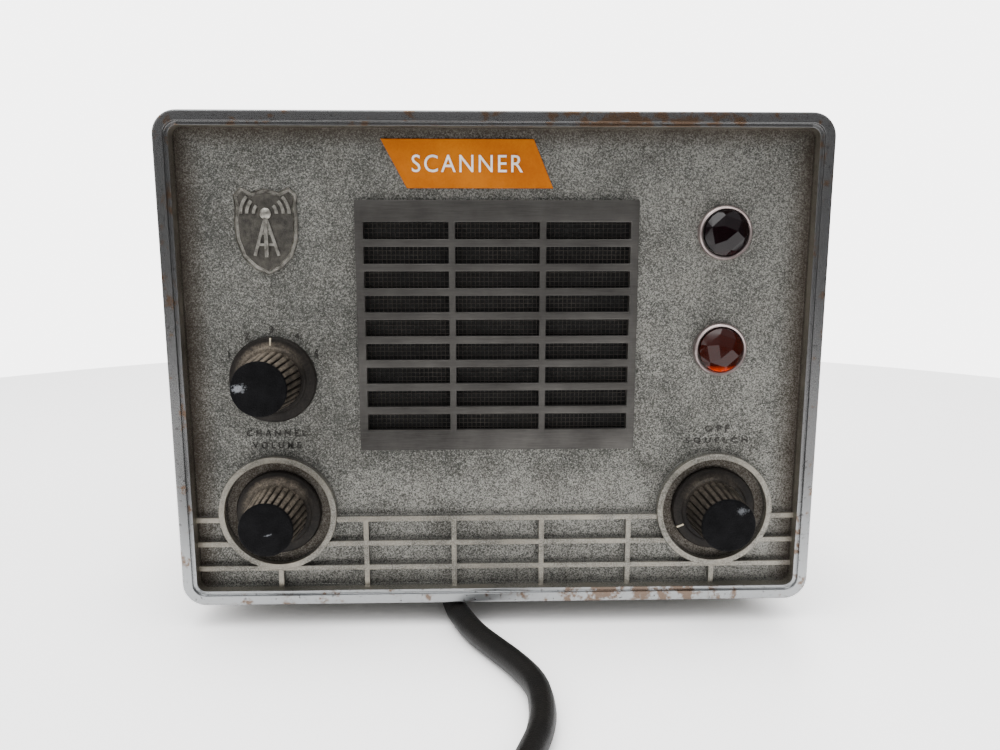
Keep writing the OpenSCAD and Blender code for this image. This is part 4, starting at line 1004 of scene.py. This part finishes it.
# Finishes of the CAD parts, those that a piece stands in for included
nodeFinishes = {
    castMetal: ["front_bezel"],
    grilleMetal: ["speaker_grille"],
    voidShadeSheet: ["grille_mesh"],
    badgeMetal: ["badge"],
    tagPlastic: ["callsign_tag"],
    enamel: ["case_shell", "bottom_cover", "rear_panel"],
    footRubber: ["feet"],
    platedSteel: ["foot_screws", "case_screws", "chassis", "panel_screws", "speaker_screws", "control_nuts",
                  "lamp_holders", "volume_pot", "squelch_pot"],
    speakerSteel: ["speaker_basket", "speaker_magnet"],
    conePaper: ["speaker_cone"],
    copperWire: ["voice_coil"],
    knobPlastic: ["channel_knob", "volume_knob", "squelch_knob"],
    capPlastic: ["channel_knob_cap", "volume_knob_cap", "squelch_knob_cap"],
    turnedSteel: ["channel_set_screw", "volume_set_screw", "squelch_set_screw", "channel_shaft",
                  "volume_shaft", "squelch_shaft"],
    phenolicBoard: ["channel_switch", "switch_rotors", "component_board"],
    upperGlass: ["upper_jewel"],
    lowerGlass: ["lower_jewel"],
    chromeRing: ["lamp_rings"],
    bulbGlass: ["lamp_bulbs", "fuse"],
    spunAluminium: ["crystals", "if_cans", "filter_capacitor", "valve_shields"],
    ceramic: ["crystal_sockets"],
    valveGlass: ["valves"],
    blackPhenolic: ["valve_sockets", "fuse_holder", "fuse_cap"],
    coreIron: ["power_transformer", "output_transformer"],
    nickel: ["aerial_socket", "speaker_jack"],
    leadRubber: ["strain_relief", "cord", "cord_coil", "cord_tail", "plug"],
}
for finish, names in nodeFinishes.items():
    for name in names:
        node = nodes[name]
        if not node.material_slots:
            node.data.materials.append(finish)
        for holder in node.material_slots:
            holder.material = finish
print("finishes given to", sum(len(n) for n in nodeFinishes.values()), "CAD parts")

# Floor, light and air, in metres and watts
floorShape = {"radius": 0.57, "middleY": -0.1, "shadowReach": 0.06, "glow": 2.0}
floorMesh = bmesh.new()
bmesh.ops.create_circle(floorMesh, cap_ends=True, segments=160, radius=floorShape["radius"])
bmesh.ops.translate(floorMesh, vec=(0, floorShape["middleY"], 0), verts=floorMesh.verts)
mesh = bpy.data.meshes.new("studioFloor")
floorMesh.to_mesh(mesh)
floorMesh.free()
paleBoard = makeFinish("paleBoard", "#f2f1f0", "#ecebea", 160, 1.2, 0.42, bump=0.01)
board = next(n for n in paleBoard.node_tree.nodes if n.type == "BSDF_PRINCIPLED")
board.inputs["Emission Color"].default_value = hexToLinear("#fbfafa")
# painted shadow: the board's own glow falls away where something stands close over it, a contact shadow
# painted in under the set and the lead
paintedContactShadow = addNode(paleBoard.node_tree, "ShaderNodeAmbientOcclusion", {"samples": 12},
                  {"Distance": floorShape["shadowReach"]}).outputs["AO"]
glowing = addNode(paleBoard.node_tree, "ShaderNodeMapRange", {}, {
    "Value": paintedContactShadow, "From Min": 0.12, "From Max": 0.92, "To Min": 0.02,
    "To Max": floorShape["glow"]}).outputs[0]
paleBoard.node_tree.links.new(glowing, board.inputs["Emission Strength"])
mesh.materials.append(paleBoard)
studioFloor = bpy.data.objects.new("studioFloor", mesh)
bpy.context.scene.collection.objects.link(studioFloor)

world = bpy.data.worlds.new("studio")
world.use_nodes = True
air = world.node_tree
air.nodes.clear()
# a bright sheet behind the set, and a studio that is bright above and dim at eye level
sheet = addNode(air, "ShaderNodeBackground", {}, {"Color": hexToLinear("#fbfafa"), "Strength": 5.5})
view = addNode(air, "ShaderNodeTexCoord").outputs["Generated"]
level = addNode(air, "ShaderNodeSeparateXYZ", {}, {0: view}).outputs[2]
glow = addNode(air, "ShaderNodeMapRange", {"interpolation_type": "SMOOTHSTEP"},
               {"Value": level, "From Min": 0.02, "From Max": 0.65, "To Min": 0.1, "To Max": 1.0}).outputs[0]
studio = addNode(air, "ShaderNodeBackground", {}, {"Color": hexToLinear("#f4f5f8"), "Strength": glow})
seen = addNode(air, "ShaderNodeLightPath").outputs["Is Camera Ray"]
blend = addNode(air, "ShaderNodeMixShader", {}, {0: seen, 1: studio.outputs[0], 2: sheet.outputs[0]})
addNode(air, "ShaderNodeOutputWorld", {}, {"Surface": blend.outputs[0]})
bpy.context.scene.world = world
# each light: where it hangs, how wide it is and its power, all aimed at the middle of the set
lights = {
    "overhead": ((-0.1, -0.25, 0.75), 0.7, 8),
    "leftFill": ((-0.7, -0.55, 0.45), 0.5, 2),
    "rearFill": ((0.3, 0.8, 0.6), 0.6, 6),
}
for name, (place, size, power) in lights.items():
    light = bpy.data.lights.new(name, "AREA")
    light.shape = "DISK"
    light.size = size
    light.energy = power
    holder = bpy.data.objects.new(name, light)
    holder.location = place
    holder.rotation_euler = (Vector((0, 0, 0.07)) - Vector(place)).to_track_quat("-Z", "Y").to_euler()
    bpy.context.scene.collection.objects.link(holder)

print("scene ready")
